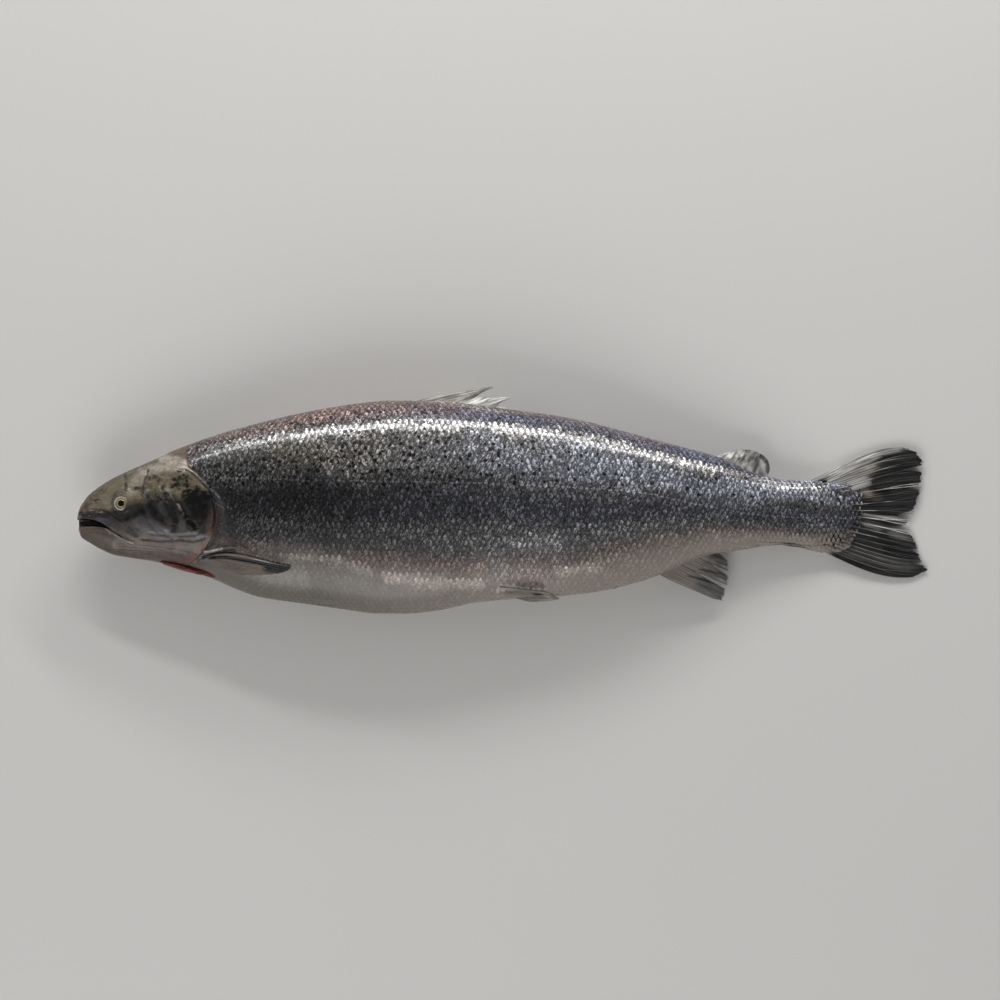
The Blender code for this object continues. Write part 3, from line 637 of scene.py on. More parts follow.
class SalmonColours(bpy.types.PropertyGroup):
    back_brown: colour_prop("Back brown", "Skin along the ridge of the back", "#927d78")
    back_slate: colour_prop("Back slate", "Skin of the back towards the tail", "#57596b")
    back_ridge: colour_prop("Back ridge", "Skin over the very top of the back", "#68625e")
    # Silver with a painted highlight on it: the sheen that the strip lamps give the upper flank.
    silver_and_painted_sheen: colour_prop("Sheen silver", "Silver along the upper flank", "#a8a5a3")
    flank_olive: colour_prop("Flank olive", "Upper flank towards the head", "#7c7771")
    flank_blue: colour_prop("Flank blue", "Upper flank towards the tail", "#9598a2")
    mid_front: colour_prop("Middle front", "Between upper flank and dark band, towards the head", "#404041")
    band_front_and_painted_reflection: colour_prop("Band front", "Dark band of the flank towards the head", "#29292b")
    # The dark band's colours hold a painted reflection of the dim room overhead, on top of the flank's
    # darker middle.
    band_rear_and_painted_reflection: colour_prop("Band rear", "Dark band of the flank towards the tail", "#515258")
    low_front: colour_prop("Low front", "Lower flank towards the head", "#403f40")
    low_rear: colour_prop("Low rear", "Lower flank towards the tail", "#646365")
    belly_rose: colour_prop("Belly rose", "Edge between flank and belly", "#655e5a")
    belly_beige: colour_prop("Belly beige", "Belly skin", "#69655d")
    belly_shade: colour_prop("Belly shade", "Lowest skin of the belly", "#6a645c")
    head_tan: colour_prop("Head tan", "Crown of the head", "#786e59")
    head_back: colour_prop("Head back", "Ridge of the head", "#5c5347")
    cheek_grey: colour_prop("Cheek grey", "Cheek behind the eye", "#2c2a29")
    jaw_rose: colour_prop("Jaw rose", "Lower cheek and jaw", "#574e46")
    pigment_black: colour_prop("Pigment black", "Spots and dark patches", "#0b0a09")
    olive: colour_prop("Olive", "Olive patches on head and flank", "#675f4a")
    # Brown for scuffs and rosy patches, and for the painted shade under the pectoral fin and the pelvic
    # fold.
    scuff_and_shadow_brown: colour_prop("Scuff brown", "Brown and rosy patches", "#64493d")
    blood_red: colour_prop("Blood red", "Gill flesh and the line of the gill opening", "#7a2412")
    # Partly pale skin, partly painted glints and sheen.
    pale_and_painted_glint_white: colour_prop("Wet white", "Palest, shiny patches", "#c6bbb0")
    # Partly bluish skin, partly painted glints and sheen.
    blue_and_painted_glint: colour_prop("Steel blue", "Bluish, silvery patches", "#858b96")
    gill_stain: colour_prop("Gill stain", "Stained skin along the gill opening", "#6e3429")
    iris_gold: colour_prop("Iris gold", "Iris of the eye", "#8f7d5c")
    belly_rear: colour_prop("Belly rear", "Belly towards the tail", "#8f867f")
    fin_smoke: colour_prop("Fin smoke", "Dark webs of the fins", "#111112")
    fin_horn: colour_prop("Fin horn", "Rays and pale webs of the fins", "#dedbd6")
    fin_brown: colour_prop("Fin brown", "Brown webs of the paired fins", "#57483b")
    floor_white: colour_prop("Floor white", "Plain floor", "#e4e2df")


# ---- Materials -----------------------------------------------------------------------------------
MIX_FACTOR, MIX_A, MIX_B, MIX_OUT = 0, 6, 7, 2  # the colour sockets of a Mix node
NUMBER_A, NUMBER_B, NUMBER_OUT = 2, 3, 0  # its number sockets


def feed(tree, node, values):
    """Gives each input of the node its value, or links the output that makes it."""
    for name, value in values.items():
        if isinstance(value, bpy.types.NodeSocket):
            tree.links.new(value, node.inputs[name])
        else:
            node.inputs[name].default_value = value


def add(tree, kind, values=None, **settings):
    """Adds a node with its settings and with what feeds its inputs."""
    made = tree.nodes.new(kind)
    for key, value in settings.items():
        setattr(made, key, value)
    feed(tree, made, values or {})
    return made


def object_place(tree):
    """The place on the object, in metres."""
    return add(tree, "ShaderNodeTexCoord").outputs["Object"]


def attribute(tree, name):
    """A number that the mesh keeps on its points."""
    return add(tree, "ShaderNodeAttribute", attribute_name=name).outputs["Fac"]


def maths(tree, operation, a, b=0.0, c=0.0, clamp=False):
    """One step of arithmetic."""
    return add(tree, "ShaderNodeMath", {0: a, 1: b, 2: c}, operation=operation, use_clamp=clamp).outputs[0]


def product(tree, level, *factors):
    """The level times all the factors."""
    for factor in factors:
        level = maths(tree, "MULTIPLY", level, factor)
    return level


def remap(tree, value, low=0.0, high=1.0, to_low=0.0, to_high=1.0):
    """The value, stretched from one range to another and kept within it."""
    return add(tree, "ShaderNodeMapRange", {
        "Value": value, "From Min": low, "From Max": high, "To Min": to_low, "To Max": to_high}).outputs[0]


def between(tree, factor, a, b):
    """A number between two: a at factor 0 and b at 1."""
    mix = add(tree, "ShaderNodeMix", {MIX_FACTOR: factor, NUMBER_A: a, NUMBER_B: b}, data_type="FLOAT")
    return mix.outputs[NUMBER_OUT]


def mixed(tree, factor, a, b):
    """A colour between two: a at factor 0 and b at 1."""
    a, b = (end if isinstance(end, bpy.types.NodeSocket) else (*end, 1.0) for end in (a, b))
    mix = add(tree, "ShaderNodeMix", {MIX_FACTOR: factor, MIX_A: a, MIX_B: b}, data_type="RGBA")
    return mix.outputs[MIX_OUT]


def scaled(tree, colour, level):
    """The colour made lighter or darker."""
    return add(tree, "ShaderNodeVectorMath", {0: colour, "Scale": level}, operation="SCALE").outputs[0]


def per_size(millimetres):
    """The scale of a procedural pattern whose features are this large."""
    return 1.0 / (millimetres * MM)


def noise(tree, millimetres, detail, roughness=0.5, distortion=0.0):
    """A cloudy pattern with features of about this size."""
    return add(tree, "ShaderNodeTexNoise", {
        "Vector": object_place(tree), "Scale": per_size(millimetres), "Detail": detail,
        "Roughness": roughness, "Distortion": distortion}).outputs


def bump(tree, height, strength, millimetres, **normal):
    """Small relief on the surface, on top of the normal that is given."""
    return add(tree, "ShaderNodeBump", {
        "Height": height, "Strength": strength, "Distance": millimetres * MM, **normal}).outputs[0]


def ramp(tree, value, stops):
    """A Color Ramp with these stops: (position, colour or grey)."""
    made = add(tree, "ShaderNodeValToRGB", {"Fac": value})
    elements = made.color_ramp.elements
    while len(elements) > 1:
        elements.remove(elements[-1])
    for index, (position, colour) in enumerate(stops):
        element = elements[0] if index == 0 else elements.new(position)
        element.position = position
        element.color = (*((colour,) * 3 if isinstance(colour, float) else colour), 1.0)
    return made.outputs["Color"]


def new_material(name):
    """A new material and its tree of nodes."""
    made = bpy.data.materials.new(name)
    made.use_nodes = True
    return made, made.node_tree


def finished(made, values):
    """Gives the material's surface its values and hands the material over."""
    feed(made.node_tree, made.node_tree.nodes["Principled BSDF"], values)
    return made


def pigment_group(c):
    """The colouring that skin and scales share."""
    tree = bpy.data.node_groups.new("salmon_pigment", "ShaderNodeTree")
    tree.interface.new_socket("Color", in_out="OUTPUT", socket_type="NodeSocketColor")
    speckle = noise(tree, 5.5, 3.0, 0.6)
    speckled = maths(tree, "MULTIPLY_ADD", speckle["Fac"], 0.10, -0.05)
    cloudy = maths(tree, "MULTIPLY_ADD", noise(tree, 34, 3.0, 0.55)["Fac"], 0.14, -0.07)
    zone, bare = attribute(tree, "zone"), attribute(tree, "bare")
    # In both ramps the dark band, zones 0.4 to 0.6, holds a painted reflection of the dim room overhead.
    uneven_zone = maths(tree, "ADD", zone, maths(tree, "ADD", cloudy, speckled))
    # Near zone 0.8 both ramps give silver with a painted highlight, the strip lamps' sheen, between darker
    # stops.
    front = ramp(tree, uneven_zone, [
        (0.0, c.belly_shade), (0.08, c.belly_beige), (0.17, c.belly_rose), (0.27, c.low_front),
        (0.38, c.low_front), (0.45, c.band_front_and_painted_reflection), (0.56, c.band_front_and_painted_reflection), (0.62, c.mid_front),
        (0.67, c.flank_olive), (0.73, c.flank_olive), (0.76, c.mid_front), (0.785, c.silver_and_painted_sheen),
        (0.805, c.silver_and_painted_sheen), (0.835, c.mid_front), (0.89, c.back_brown), (0.955, c.back_brown),
        (1.0, c.back_ridge)])
    rear = ramp(tree, uneven_zone, [
        (0.0, c.belly_rear), (0.12, c.belly_rear), (0.25, c.belly_rose), (0.31, c.low_rear),
        (0.38, c.low_rear), (0.44, c.band_rear_and_painted_reflection), (0.52, c.band_rear_and_painted_reflection), (0.61, c.low_rear),
        (0.665, c.flank_blue), (0.72, c.flank_blue), (0.76, c.low_rear), (0.785, c.silver_and_painted_sheen),
        (0.8, c.silver_and_painted_sheen), (0.835, c.band_rear_and_painted_reflection), (0.88, c.back_slate), (0.955, c.back_slate),
        (1.0, c.back_ridge)])
    head = ramp(tree, maths(tree, "ADD", zone, cloudy), [
        (0.0, c.jaw_rose), (0.34, c.jaw_rose), (0.45, c.cheek_grey), (0.56, c.cheek_grey),
        (0.64, c.head_tan), (0.90, c.head_tan), (1.0, c.head_back)])
    flank = mixed(tree, remap(tree, attribute(tree, "along"), 0.3, 0.54), front, rear)
    body = mixed(tree, attribute(tree, "shoulder"), flank, c.mid_front)
    marbled = remap(tree, noise(tree, 8.0, 5.0, 0.68, 0.8)["Fac"], 0.34, 0.68, 0.55, 1.45)
    colour = mixed(tree, bare, body, scaled(tree, head, marbled))
    broken = remap(tree, noise(tree, 4.2, 4.0, 0.65, 0.5)["Fac"], 0.36, 0.58, 0.35, 1.2)
    for name, shade, share in (
        ("olive", c.olive, 0.75), ("warm", c.scuff_and_shadow_brown, 0.7), ("blue", c.blue_and_painted_glint, 0.85),
        ("pale", c.pale_and_painted_glint_white, 0.85), ("dark", c.pigment_black, 0.97), ("red", c.gill_stain, 0.9),
    ):
        amount = maths(tree, "MULTIPLY", attribute(tree, name), share)
        ragged = maths(tree, "MULTIPLY", amount, 1.0 if name == "red" else broken, clamp=True)
        colour = mixed(tree, ragged, colour, shade)
    # Melanin spots, 2 to 4 mm across, a few in each square centimetre where the fish is spotted.
    warp = scaled(tree, speckle["Color"], 0.0022)
    bent = add(tree, "ShaderNodeVectorMath", {0: object_place(tree), 1: warp}, operation="ADD").outputs[0]
    cells = add(tree, "ShaderNodeTexVoronoi", {"Vector": bent, "Scale": per_size(5.2)}).outputs
    pick = add(tree, "ShaderNodeSeparateColor", {"Color": cells["Color"]}).outputs
    spotted = maths(tree, "LESS_THAN", pick["Red"], maths(tree, "MULTIPLY", attribute(tree, "spotted"), 0.9))
    size = maths(tree, "MULTIPLY_ADD", pick["Green"], 0.13, 0.21)
    near = remap(tree, cells["Distance"], size, maths(tree, "ADD", size, 0.09), 1.0, 0.0)
    colour = mixed(tree, product(tree, near, spotted, 0.93), colour, c.pigment_black)
    # A fine grain, calmer on the head and on the belly.
    grain = remap(tree, noise(tree, 1.6, 2.0)["Fac"], 0.36, 0.66, 0.5, 1.6)
    calm = maths(tree, "MAXIMUM", product(tree, bare, 0.85), remap(tree, zone, 0.12, 0.34, 0.85, 0.0))
    add(tree, "NodeGroupOutput", {"Color": scaled(tree, colour, between(tree, calm, grain, 1.0))})
    return tree


def wet_skin(pigment):
    """Raw fish skin, washed and wet: a soft mottled base under a thin glossy film of water."""
    made, tree = new_material("wet_fish_skin")
    paint = add(tree, "ShaderNodeGroup", node_tree=pigment).outputs["Color"]
    # Under the scales the skin lies in their shade.
    deep = remap(tree, attribute(tree, "zone"), 0.15, 0.4, 0.95, 0.5)
    folds = noise(tree, 6.0, 4.0, distortion=0.6)["Fac"]
    pores = noise(tree, 0.9, 3.0)["Fac"]
    return finished(made, {
        "Base Color": scaled(tree, paint, remap(tree, attribute(tree, "bare"), to_low=deep)),
        "Roughness": remap(tree, folds, to_low=0.26, to_high=0.5),
        "Normal": bump(tree, pores, 0.25, 0.25, Normal=bump(tree, folds, 0.35, 0.8)),
        "Metallic": 0.12, "IOR": 1.4, "Coat Weight": 0.3, "Coat Roughness": 0.12})


def scale_silver(pigment):
    """Scale plates backed with silvery guanine: each mirrors the light its own way."""
    made, tree = new_material("guanine_scale")
    paint = add(tree, "ShaderNodeGroup", node_tree=pigment).outputs["Color"]
    zone, flank = attribute(tree, "zone"), attribute(tree, "flank")
    # Each scale in its own tone, with painted light on it: painted shade at its root under the scale before
    # and along its rear rim, a painted highlight as a crescent just inside that rim, and painted light on
    # one side.
    across = ramp(tree, attribute(tree, "rim"), [
        (0.0, 0.9), (0.5, 1.0), (0.7, 1.2), (0.84, 1.3), (0.9, 1.1), (0.95, 0.45), (1.0, 0.2)])
    own = remap(tree, attribute(tree, "tone"), to_low=0.6, to_high=1.5)
    painted_side_light = remap(tree, flank, -0.7, 0.7, 0.6, 1.4)
    # Short slanting dashes, a few to a scale, from the ridges that catch the light.
    slanted = add(tree, "ShaderNodeMapping", {
        "Vector": object_place(tree), "Rotation": (0.0, 0.0, math.radians(66)),
        "Scale": (3.4 * MM, 1.3 * MM, 1.3 * MM)}, vector_type="TEXTURE").outputs[0]
    dashes = add(tree, "ShaderNodeTexNoise", {"Vector": slanted, "Scale": 1.0, "Detail": 1.5}).outputs["Fac"]
    level = product(tree, own, painted_side_light, remap(tree, dashes, 0.37, 0.63, 0.3, 2.0), across)
    # The pores of the side line, one dash in the middle of each scale of its row.
    middle = maths(tree, "LESS_THAN", maths(tree, "ABSOLUTE", flank), 0.2)
    level = maths(tree, "ADD", level, product(tree, middle, attribute(tree, "pore"), 1.3))
    even = between(tree, remap(tree, zone, 0.08, 0.36, 0.12, 1.0), 1.0, level)
    # Slime fills the steps between the scales, so what shines follows the flank more than each scale.
    circuli = noise(tree, 1.2, 2.0)["Fac"]
    lie = add(tree, "ShaderNodeAttribute", attribute_name="lie").outputs["Vector"]
    slimy = mixed(tree, remap(tree, zone, 0.1, 0.5, 0.88, 0.68), bump(tree, circuli, 0.35, 0.25), lie)
    # The silver fades out on the belly and on the ridge of the back, and under dark stains.
    silver = remap(tree, zone, 0.12, 0.4, 0.08, 0.45)
    plain_back = remap(tree, zone, 0.84, 0.93, 1.0, 0.25)
    unstained = maths(tree, "MULTIPLY_ADD", attribute(tree, "dark"), -0.8, 1.0, clamp=True)
    return finished(made, {
        "Base Color": scaled(tree, paint, even),
        "Roughness": remap(tree, circuli, to_low=0.24, to_high=0.44),
        "Normal": add(tree, "ShaderNodeVectorMath", {0: slimy}, operation="NORMALIZE").outputs[0],
        "Metallic": product(tree, silver, plain_back, unstained),
        "Coat Normal": bump(tree, dashes, 0.32, 0.3, Normal=lie),
        "Coat Weight": remap(tree, zone, 0.25, 0.6, 0.03, 0.6), "Coat Roughness": 0.13, "IOR": 1.45})


def fin_colour(tree, colours, level, blotch):
    """The colour of a fin from its attributes: smoky or horn-coloured, browner, darker or redder."""
    patchy = remap(tree, blotch, 0.38, 0.6, 0.7, 1.12)
    pale = maths(tree, "MULTIPLY", attribute(tree, "pale"), patchy, clamp=True)
    base = mixed(tree, pale, colours.fin_smoke, colours.fin_horn)
    warmed = mixed(tree, attribute(tree, "warm"), base, colours.fin_brown)
    plump = scaled(tree, colours.belly_rear, remap(tree, level, to_low=0.8, to_high=1.1))
    fleshy = mixed(tree, attribute(tree, "flesh"), scaled(tree, warmed, level), plump)
    marked = mixed(tree, attribute(tree, "dark"), fleshy, colours.pigment_black)
    return mixed(tree, attribute(tree, "red"), marked, colours.scuff_and_shadow_brown)


def fin_web(colours):
    """The web between fin rays: wet and smoky, streaked along the rays."""
    made, tree = new_material("wet_fin_web")
    along_rays = add(tree, "ShaderNodeUVMap", uv_map="along_rays").outputs["UV"]

    def streaked(across, along, roughness):
        stretch = add(tree, "ShaderNodeMapping", {"Vector": along_rays, "Scale": (across, along, 1.0)})
        return add(tree, "ShaderNodeTexNoise", {
            "Vector": stretch.outputs[0], "Scale": 1.0, "Detail": 2.0,
            "Roughness": roughness}).outputs["Fac"]

    streaks, blotch = streaked(110.0, 2.2, 0.6), streaked(22.0, 1.6, 0.5)
    return finished(made, {
        "Base Color": fin_colour(tree, colours, remap(tree, streaks, 0.38, 0.62, 0.35, 1.7), blotch),
        "Specular IOR Level": remap(tree, attribute(tree, "dark"), to_low=0.45, to_high=0.12),
        "Normal": bump(tree, streaks, 0.5, 0.4), "Roughness": 0.45, "IOR": 1.36,
        "Coat Weight": 0.05, "Coat Roughness": 0.12})


def fin_ray(colours):
    """Bony fin rays: horn-coloured, smooth and wet, jointed every millimetre or so."""
    made, tree = new_material("bony_fin_ray")
    joints = noise(tree, 2.2, 2.0)["Fac"]
    level = maths(tree, "MULTIPLY_ADD", joints, 1.2, 0.5)
    return finished(made, {
        "Base Color": fin_colour(tree, colours, level, noise(tree, 14.0, 1.0)["Fac"]),
        "Normal": bump(tree, joints, 0.3, 0.2),
        "Roughness": 0.28, "Coat Weight": 0.3, "Coat Roughness": 0.1})


def wet_eye(colours):
    """A fish's eye: a gold ring round a black pupil under a clear, glossy cornea."""
    made, tree = new_material("wet_eye")
    fibres = noise(tree, 1.3, 4.0, 0.7)["Fac"]
    ring = maths(tree, "ADD", attribute(tree, "ring"), maths(tree, "MULTIPLY_ADD", fibres, 0.05, -0.025))
    iris = ramp(tree, ring, [
        (0.0, linear("#060606")), (0.33, linear("#060606")), (0.355, linear("#c9b78f")),
        (0.42, colours.iris_gold), (0.52, linear("#86704c")), (0.60, linear("#c9bfa6")),
        (0.70, linear("#b3ab98")), (0.75, linear("#1c1a18")), (0.84, linear("#2a2f36")),
        (0.92, linear("#6a7078")), (1.0, linear("#2a2b2c"))])
    lit = scaled(tree, iris, maths(tree, "MULTIPLY_ADD", fibres, 0.9, 0.55))
    return finished(made, {
        "Base Color": mixed(tree, attribute(tree, "arc"), lit, linear("#3a3327")),
        "Roughness": 0.18, "IOR": 1.38, "Coat Weight": 1.0, "Coat Roughness": 0.02})


def wet_tissue(name, deep, shallow):
    """Raw, moist flesh inside the mouth or the gill slit, with fine fibres."""
    made, tree = new_material(name)
    fibres = noise(tree, 2.4, 4.0, distortion=0.8)["Fac"]
    depth = maths(tree, "MULTIPLY_ADD", fibres, 1.3, -0.15, clamp=True)
    return finished(made, {
        "Base Color": mixed(tree, depth, deep, shallow), "Normal": bump(tree, fibres, 0.5, 0.5),
        "Roughness": 0.3, "Subsurface Weight": 0.15, "Subsurface Radius": (0.004, 0.0015, 0.001),
        "Coat Weight": 0.15, "Coat Roughness": 0.1})


def matt_floor(colours):
    """A plain, pale, matt floor."""
    made, tree = new_material("matt_floor")
    cloud = add(tree, "ShaderNodeTexNoise", {"Vector": object_place(tree), "Scale": 3.0, "Detail": 2.0})
    level = maths(tree, "MULTIPLY_ADD", cloud.outputs["Fac"], 0.02, 0.99)
    return finished(made, {"Base Color": scaled(tree, colours.floor_white, level), "Roughness": 0.85})


# ---- Mesh helpers --------------------------------------------------------------------------------


def placed(name, data):
    """A new object in the scene."""
    made = bpy.data.objects.new(name, data)
    bpy.context.scene.collection.objects.link(made)
    return made


def dressed(mesh, material, sharp_degrees=40):
    """Gives the mesh its material and smooths it, save for its sharp edges."""
    mesh.materials.clear()
    mesh.materials.append(material)
    mesh.shade_smooth()
    mesh.set_sharp_from_angle(angle=math.radians(sharp_degrees))
    return mesh


def line_mesh(name, points, edges=()):
    """Points of the fish, in millimetres, and the lines between them."""
    mesh = bpy.data.meshes.new(name)
    mesh.from_pydata([tuple(p) for p in in_metres(points)], edges, [])
    return mesh


def mesh_from(name, places, faces):
    """A mesh whose faces all look outwards."""
    mesh = bpy.data.meshes.new(name)
    mesh.from_pydata([tuple(p) for p in places], [], faces)
    work = bmesh.new()
    work.from_mesh(mesh)
    bmesh.ops.recalc_face_normals(work, faces=work.faces)
    work.to_mesh(mesh)
    work.free()
    return mesh


def evaluated_mesh(thing):
    """The object's mesh with its modifiers applied, and no modifier left."""
    bpy.context.view_layer.update()
    made = bpy.data.meshes.new_from_object(thing.evaluated_get(bpy.context.evaluated_depsgraph_get()))
    thing.modifiers.clear()
    thing.data = made
    return made


def lift_off_slab(mesh, least):
    """Moves points that lie too low up to this height, in millimetres, and gives all points."""
    points = mesh_points(mesh)
    points[:, 2] = np.maximum(points[:, 2], least * MM)
    mesh.vertices.foreach_set("co", points.ravel())
    return points


def ride(piece, slot, *nodes):
    """Lets the piece move with the body, in the nodes' place, which it hides. The slot is not used."""
    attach(piece, BODY)
    if nodes:
        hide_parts(*nodes)


def closed_sheet(columns, rows, triangles=False):
    """Faces of a grid of points, of its twin under it, and of the rim between the two."""
    grid = np.arange(columns * rows).reshape(columns, rows)
    sheet = np.stack([grid[:-1, :-1], grid[1:, :-1], grid[1:, 1:], grid[:-1, 1:]], -1).reshape(-1, 4)
    if triangles:
        sheet = np.concatenate([sheet[:, :3], sheet[:, [0, 2, 3]]])
    rim = [*grid[:-1, 0], *grid[-1, :-1], *grid[:0:-1, -1], *grid[0, :0:-1]]
    rim = [int(point) for point in rim]
    faces = sheet.tolist() + (sheet[:, ::-1] + grid.size).tolist()
    return faces + [(j, i, i + grid.size, j + grid.size) for i, j in zip(rim, rim[1:] + rim[:1])]


def ring_mesh(name, rows):
    """A closed mesh from rings of points, with a fan over the first and the last ring."""
    rings, count = rows.shape[0], rows.shape[1]
    places = list(in_metres(rows.reshape(-1, 3))) + [in_metres(rows[k].mean(0)) for k in (0, -1)]
    here = np.arange(count)
    there = (here + 1) % count
    faces = []
    for k in range(rings - 1):
        a, b = k * count, (k + 1) * count
        faces += np.stack([a + here, a + there, b + there, b + here], 1).tolist()
    last = (rings - 1) * count
    faces += [(rings * count, int(i), int(j)) for i, j in zip(here, there)]
    faces += [(rings * count + 1, int(last + j), int(last + i)) for i, j in zip(here, there)]
    return mesh_from(name, places, faces)


def ellipsoid_mesh(name, centre, radii, turn, segments=48):
    """A closed ellipsoid, in millimetres of the fish, turned about the upright axis."""
    polar = np.linspace(0, math.pi, segments // 2 + 1)[1:-1, None]
    round_ = np.linspace(0, 2 * math.pi, segments, endpoint=False)[None, :]
    local = np.stack([np.sin(polar) * np.cos(round_), np.sin(polar) * np.sin(round_),
                      np.broadcast_to(np.cos(polar), (polar.size, segments))], -1) * radii
    c, s = math.cos(turn), math.sin(turn)
    x, y = local[..., 0] * c - local[..., 1] * s, local[..., 0] * s + local[..., 1] * c
    return ring_mesh(name, np.stack([x, y, local[..., 2]], -1) + centre)


def cut(thing, cutters):
    """Cuts the shapes out of the object and removes them."""
    for cutter in cutters:
        step = thing.modifiers.new("cut", "BOOLEAN")
        step.operation = "DIFFERENCE"
        step.solver = "EXACT"
        step.object = cutter
    evaluated_mesh(thing)
    for cutter in cutters:
        bpy.data.objects.remove(cutter)


def prism(name, outline, low, high):
    """A closed prism over an outline in millimetres of the fish."""
    count = len(outline)
    places = [in_metres((x, y, z)) for z in (low, high) for x, y in outline]
    faces = [tuple(range(count))[::-1], tuple(range(count, 2 * count))]
    faces += [(i, (i + 1) % count, count + (i + 1) % count, count + i) for i in range(count)]
    return mesh_from(name, places, faces)


# ---- The skin ------------------------------------------------------------------------------------
RING_STEPS = [(0, 0.4), (3, 0.8), (30, 0.95), (92.5, 0.36), (97.5, 1.1), (124, 2.5), (650, 1.6)]
SKIN_RING_POINTS = 236
MOUTH_CUT_HEIGHTS = (-30, 110)


def eye_centre(side):
    """The middle of the eyeball on the left flank (side 1) or the right one (-1)."""
    x, y = EYE_AT
    return np.array([x, y, float(skin_height(x, y, side)) + side * (EYE_PROUD - EYE_DEPTH)])


def throat_lens(name, grow):
    """The lens that fills the slit under the throat, grown by this much."""
    (x0, y0), (x1, y1) = THROAT_SLIT_ENDS
    x, y = (x0 + x1) / 2, (y0 + y1) / 2
    centre = np.array([x, y, float(spine_height(x)) + THROAT_SLIT_LIFT])
    return ellipsoid_mesh(name, centre, np.array(THROAT_SLIT_RADII) + grow, math.atan2(y1 - y0, x1 - x0))


def mouth_outline():
    """The opening between the lips: along the upper one and back along the lower one."""
    upper = smooth_curve(MOUTH_OUTLINE[:7])
    lower = smooth_curve(MOUTH_OUTLINE[:5:-1])
    along = np.linspace(-6, 30, 25)
    return [(x, float(upper(x))) for x in along] + [(x, float(lower(x))) for x in along[-2::-1]]


def build_skin(materials):
    """The skin of head and body, with its openings for mouth, eyes and throat."""
    lines, at = [], FIRST_RING
    while at < LAST_RING:
        lines.append(at)
        at += [step for start, step in RING_STEPS if start <= at][-1]
    lines = np.array([*lines, LAST_RING])
    angles = np.arange(SKIN_RING_POINTS) * 2 * math.pi / SKIN_RING_POINTS
    skin = placed("skin", ring_mesh("skin", skin_points(lines[:, None], angles[None, :])))
    radii = np.array([EYE_RADIUS, EYE_RADIUS, EYE_DEPTH]) + FIT_GAP
    sockets = [ellipsoid_mesh("socket_cut", eye_centre(side), radii, 0) for side in (1, -1)]
    mouth = prism("mouth_cut", mouth_outline(), *MOUTH_CUT_HEIGHTS)
    cut(skin, [placed(mesh.name, mesh) for mesh in (mouth, *sockets, throat_lens("throat_cut", FIT_GAP))])
    mesh = dressed(skin.data, materials["skin"], 50)
    store(mesh, pigment_at(on_fish(mesh_points(mesh))))
    ride(skin, "skin", "salmon")


# ---- The scales ----------------------------------------------------------------------------------
SCALE_FRONT_LINE = 98.2
SCALE_REAR_LINE = 696.0
SCALES_ON_WEB = 677.0
SCALE_LINE_STEP = 2.0
SCALE_RIM_POINTS = 12
SCALE_THICKNESS = 0.35 * MM
SCALES_ASTRAY = (0.24, 0.2)
SCALE_SIZE_SPREAD = 0.05
SCALE_CLEARANCE = 0.02
ROWS_UP, ROWS_DOWN = 34, 38


def scale_shape(sizes):
    """One scale, a unit long and wide: a thin arched shield whose rear edge stands up."""
    work = bmesh.new()
    layers = {name: work.verts.layers.float.new(name) for name in ("rim", "flank")}

    def point(x, y, under=0.0):
        lie = sizes.scale_lift * (1.9 * (x + 0.5) - 0.9) - 0.25 * MM * max(0.0, 2 * x) ** 3
        vert = work.verts.new((x, y, lie - sizes.scale_arch * (2 * y) ** 2 - under))
        vert[layers["rim"]] = min(1.0, max(0.0, 0.5 + math.hypot(x, 0.5 * y) * math.copysign(1, x)))
        vert[layers["flank"]] = 2 * y
        return vert

    turns = [2 * math.pi * k / SCALE_RIM_POINTS for k in range(SCALE_RIM_POINTS)]
    rings = [[point(r * 0.5 * math.cos(t), r * 0.5 * math.sin(t)) for t in turns] for r in (1.0, 0.66)]
    crown = point(0.0, 0.0)
    below = point(0.0, 0.0, SCALE_THICKNESS)
    for k in range(SCALE_RIM_POINTS):
        n = (k + 1) % SCALE_RIM_POINTS
        work.faces.new((rings[0][k], rings[0][n], rings[1][n], rings[1][k]))
        work.faces.new((rings[1][k], rings[1][n], crown))
        work.faces.new((rings[0][n], rings[0][k], below))
    bmesh.ops.recalc_face_normals(work, faces=work.faces)
    mesh = bpy.data.meshes.new("one_scale")
    work.to_mesh(mesh)
    work.free()
    return placed("one_scale", mesh)


def geometry_group(name, inputs, output):
    """A Geometry Nodes tree with these inputs (name, kind, value) and one output. Gives the tree, what
    its inputs feed, and the values by the identifiers of their sockets."""
    tree = bpy.data.node_groups.new(name, "GeometryNodeTree")
    values = {}
    for title, kind, value in inputs:
        socket = tree.interface.new_socket(title, in_out="INPUT", socket_type="NodeSocket" + kind)
        if value is not None:
            values[socket.identifier] = value
    tree.interface.new_socket(output, in_out="OUTPUT", socket_type="NodeSocketGeometry")
    return tree, add(tree, "NodeGroupInput").outputs, values


def named_attribute(tree, name, kind="FLOAT"):
    """What the bed keeps on its points under this name."""
    return add(tree, "GeometryNodeInputNamedAttribute", {"Name": name}, data_type=kind).outputs["Attribute"]


def realized(tree, geometry, material):
    """Ends a Geometry Nodes tree: real geometry with its material."""
    real = add(tree, "GeometryNodeRealizeInstances", {"Geometry": geometry})
    coloured = add(tree, "GeometryNodeSetMaterial", {"Geometry": real.outputs[0], "Material": material})
    add(tree, "NodeGroupOutput", {0: coloured.outputs[0]})


def grow(bed, tree, values):
    """Runs a Geometry Nodes tree on the bed and leaves the plain mesh."""
    step = bed.modifiers.new("grow", "NODES")
    step.node_group = tree
    for identifier, value in values.items():
        step[identifier] = value
    return evaluated_mesh(bed)


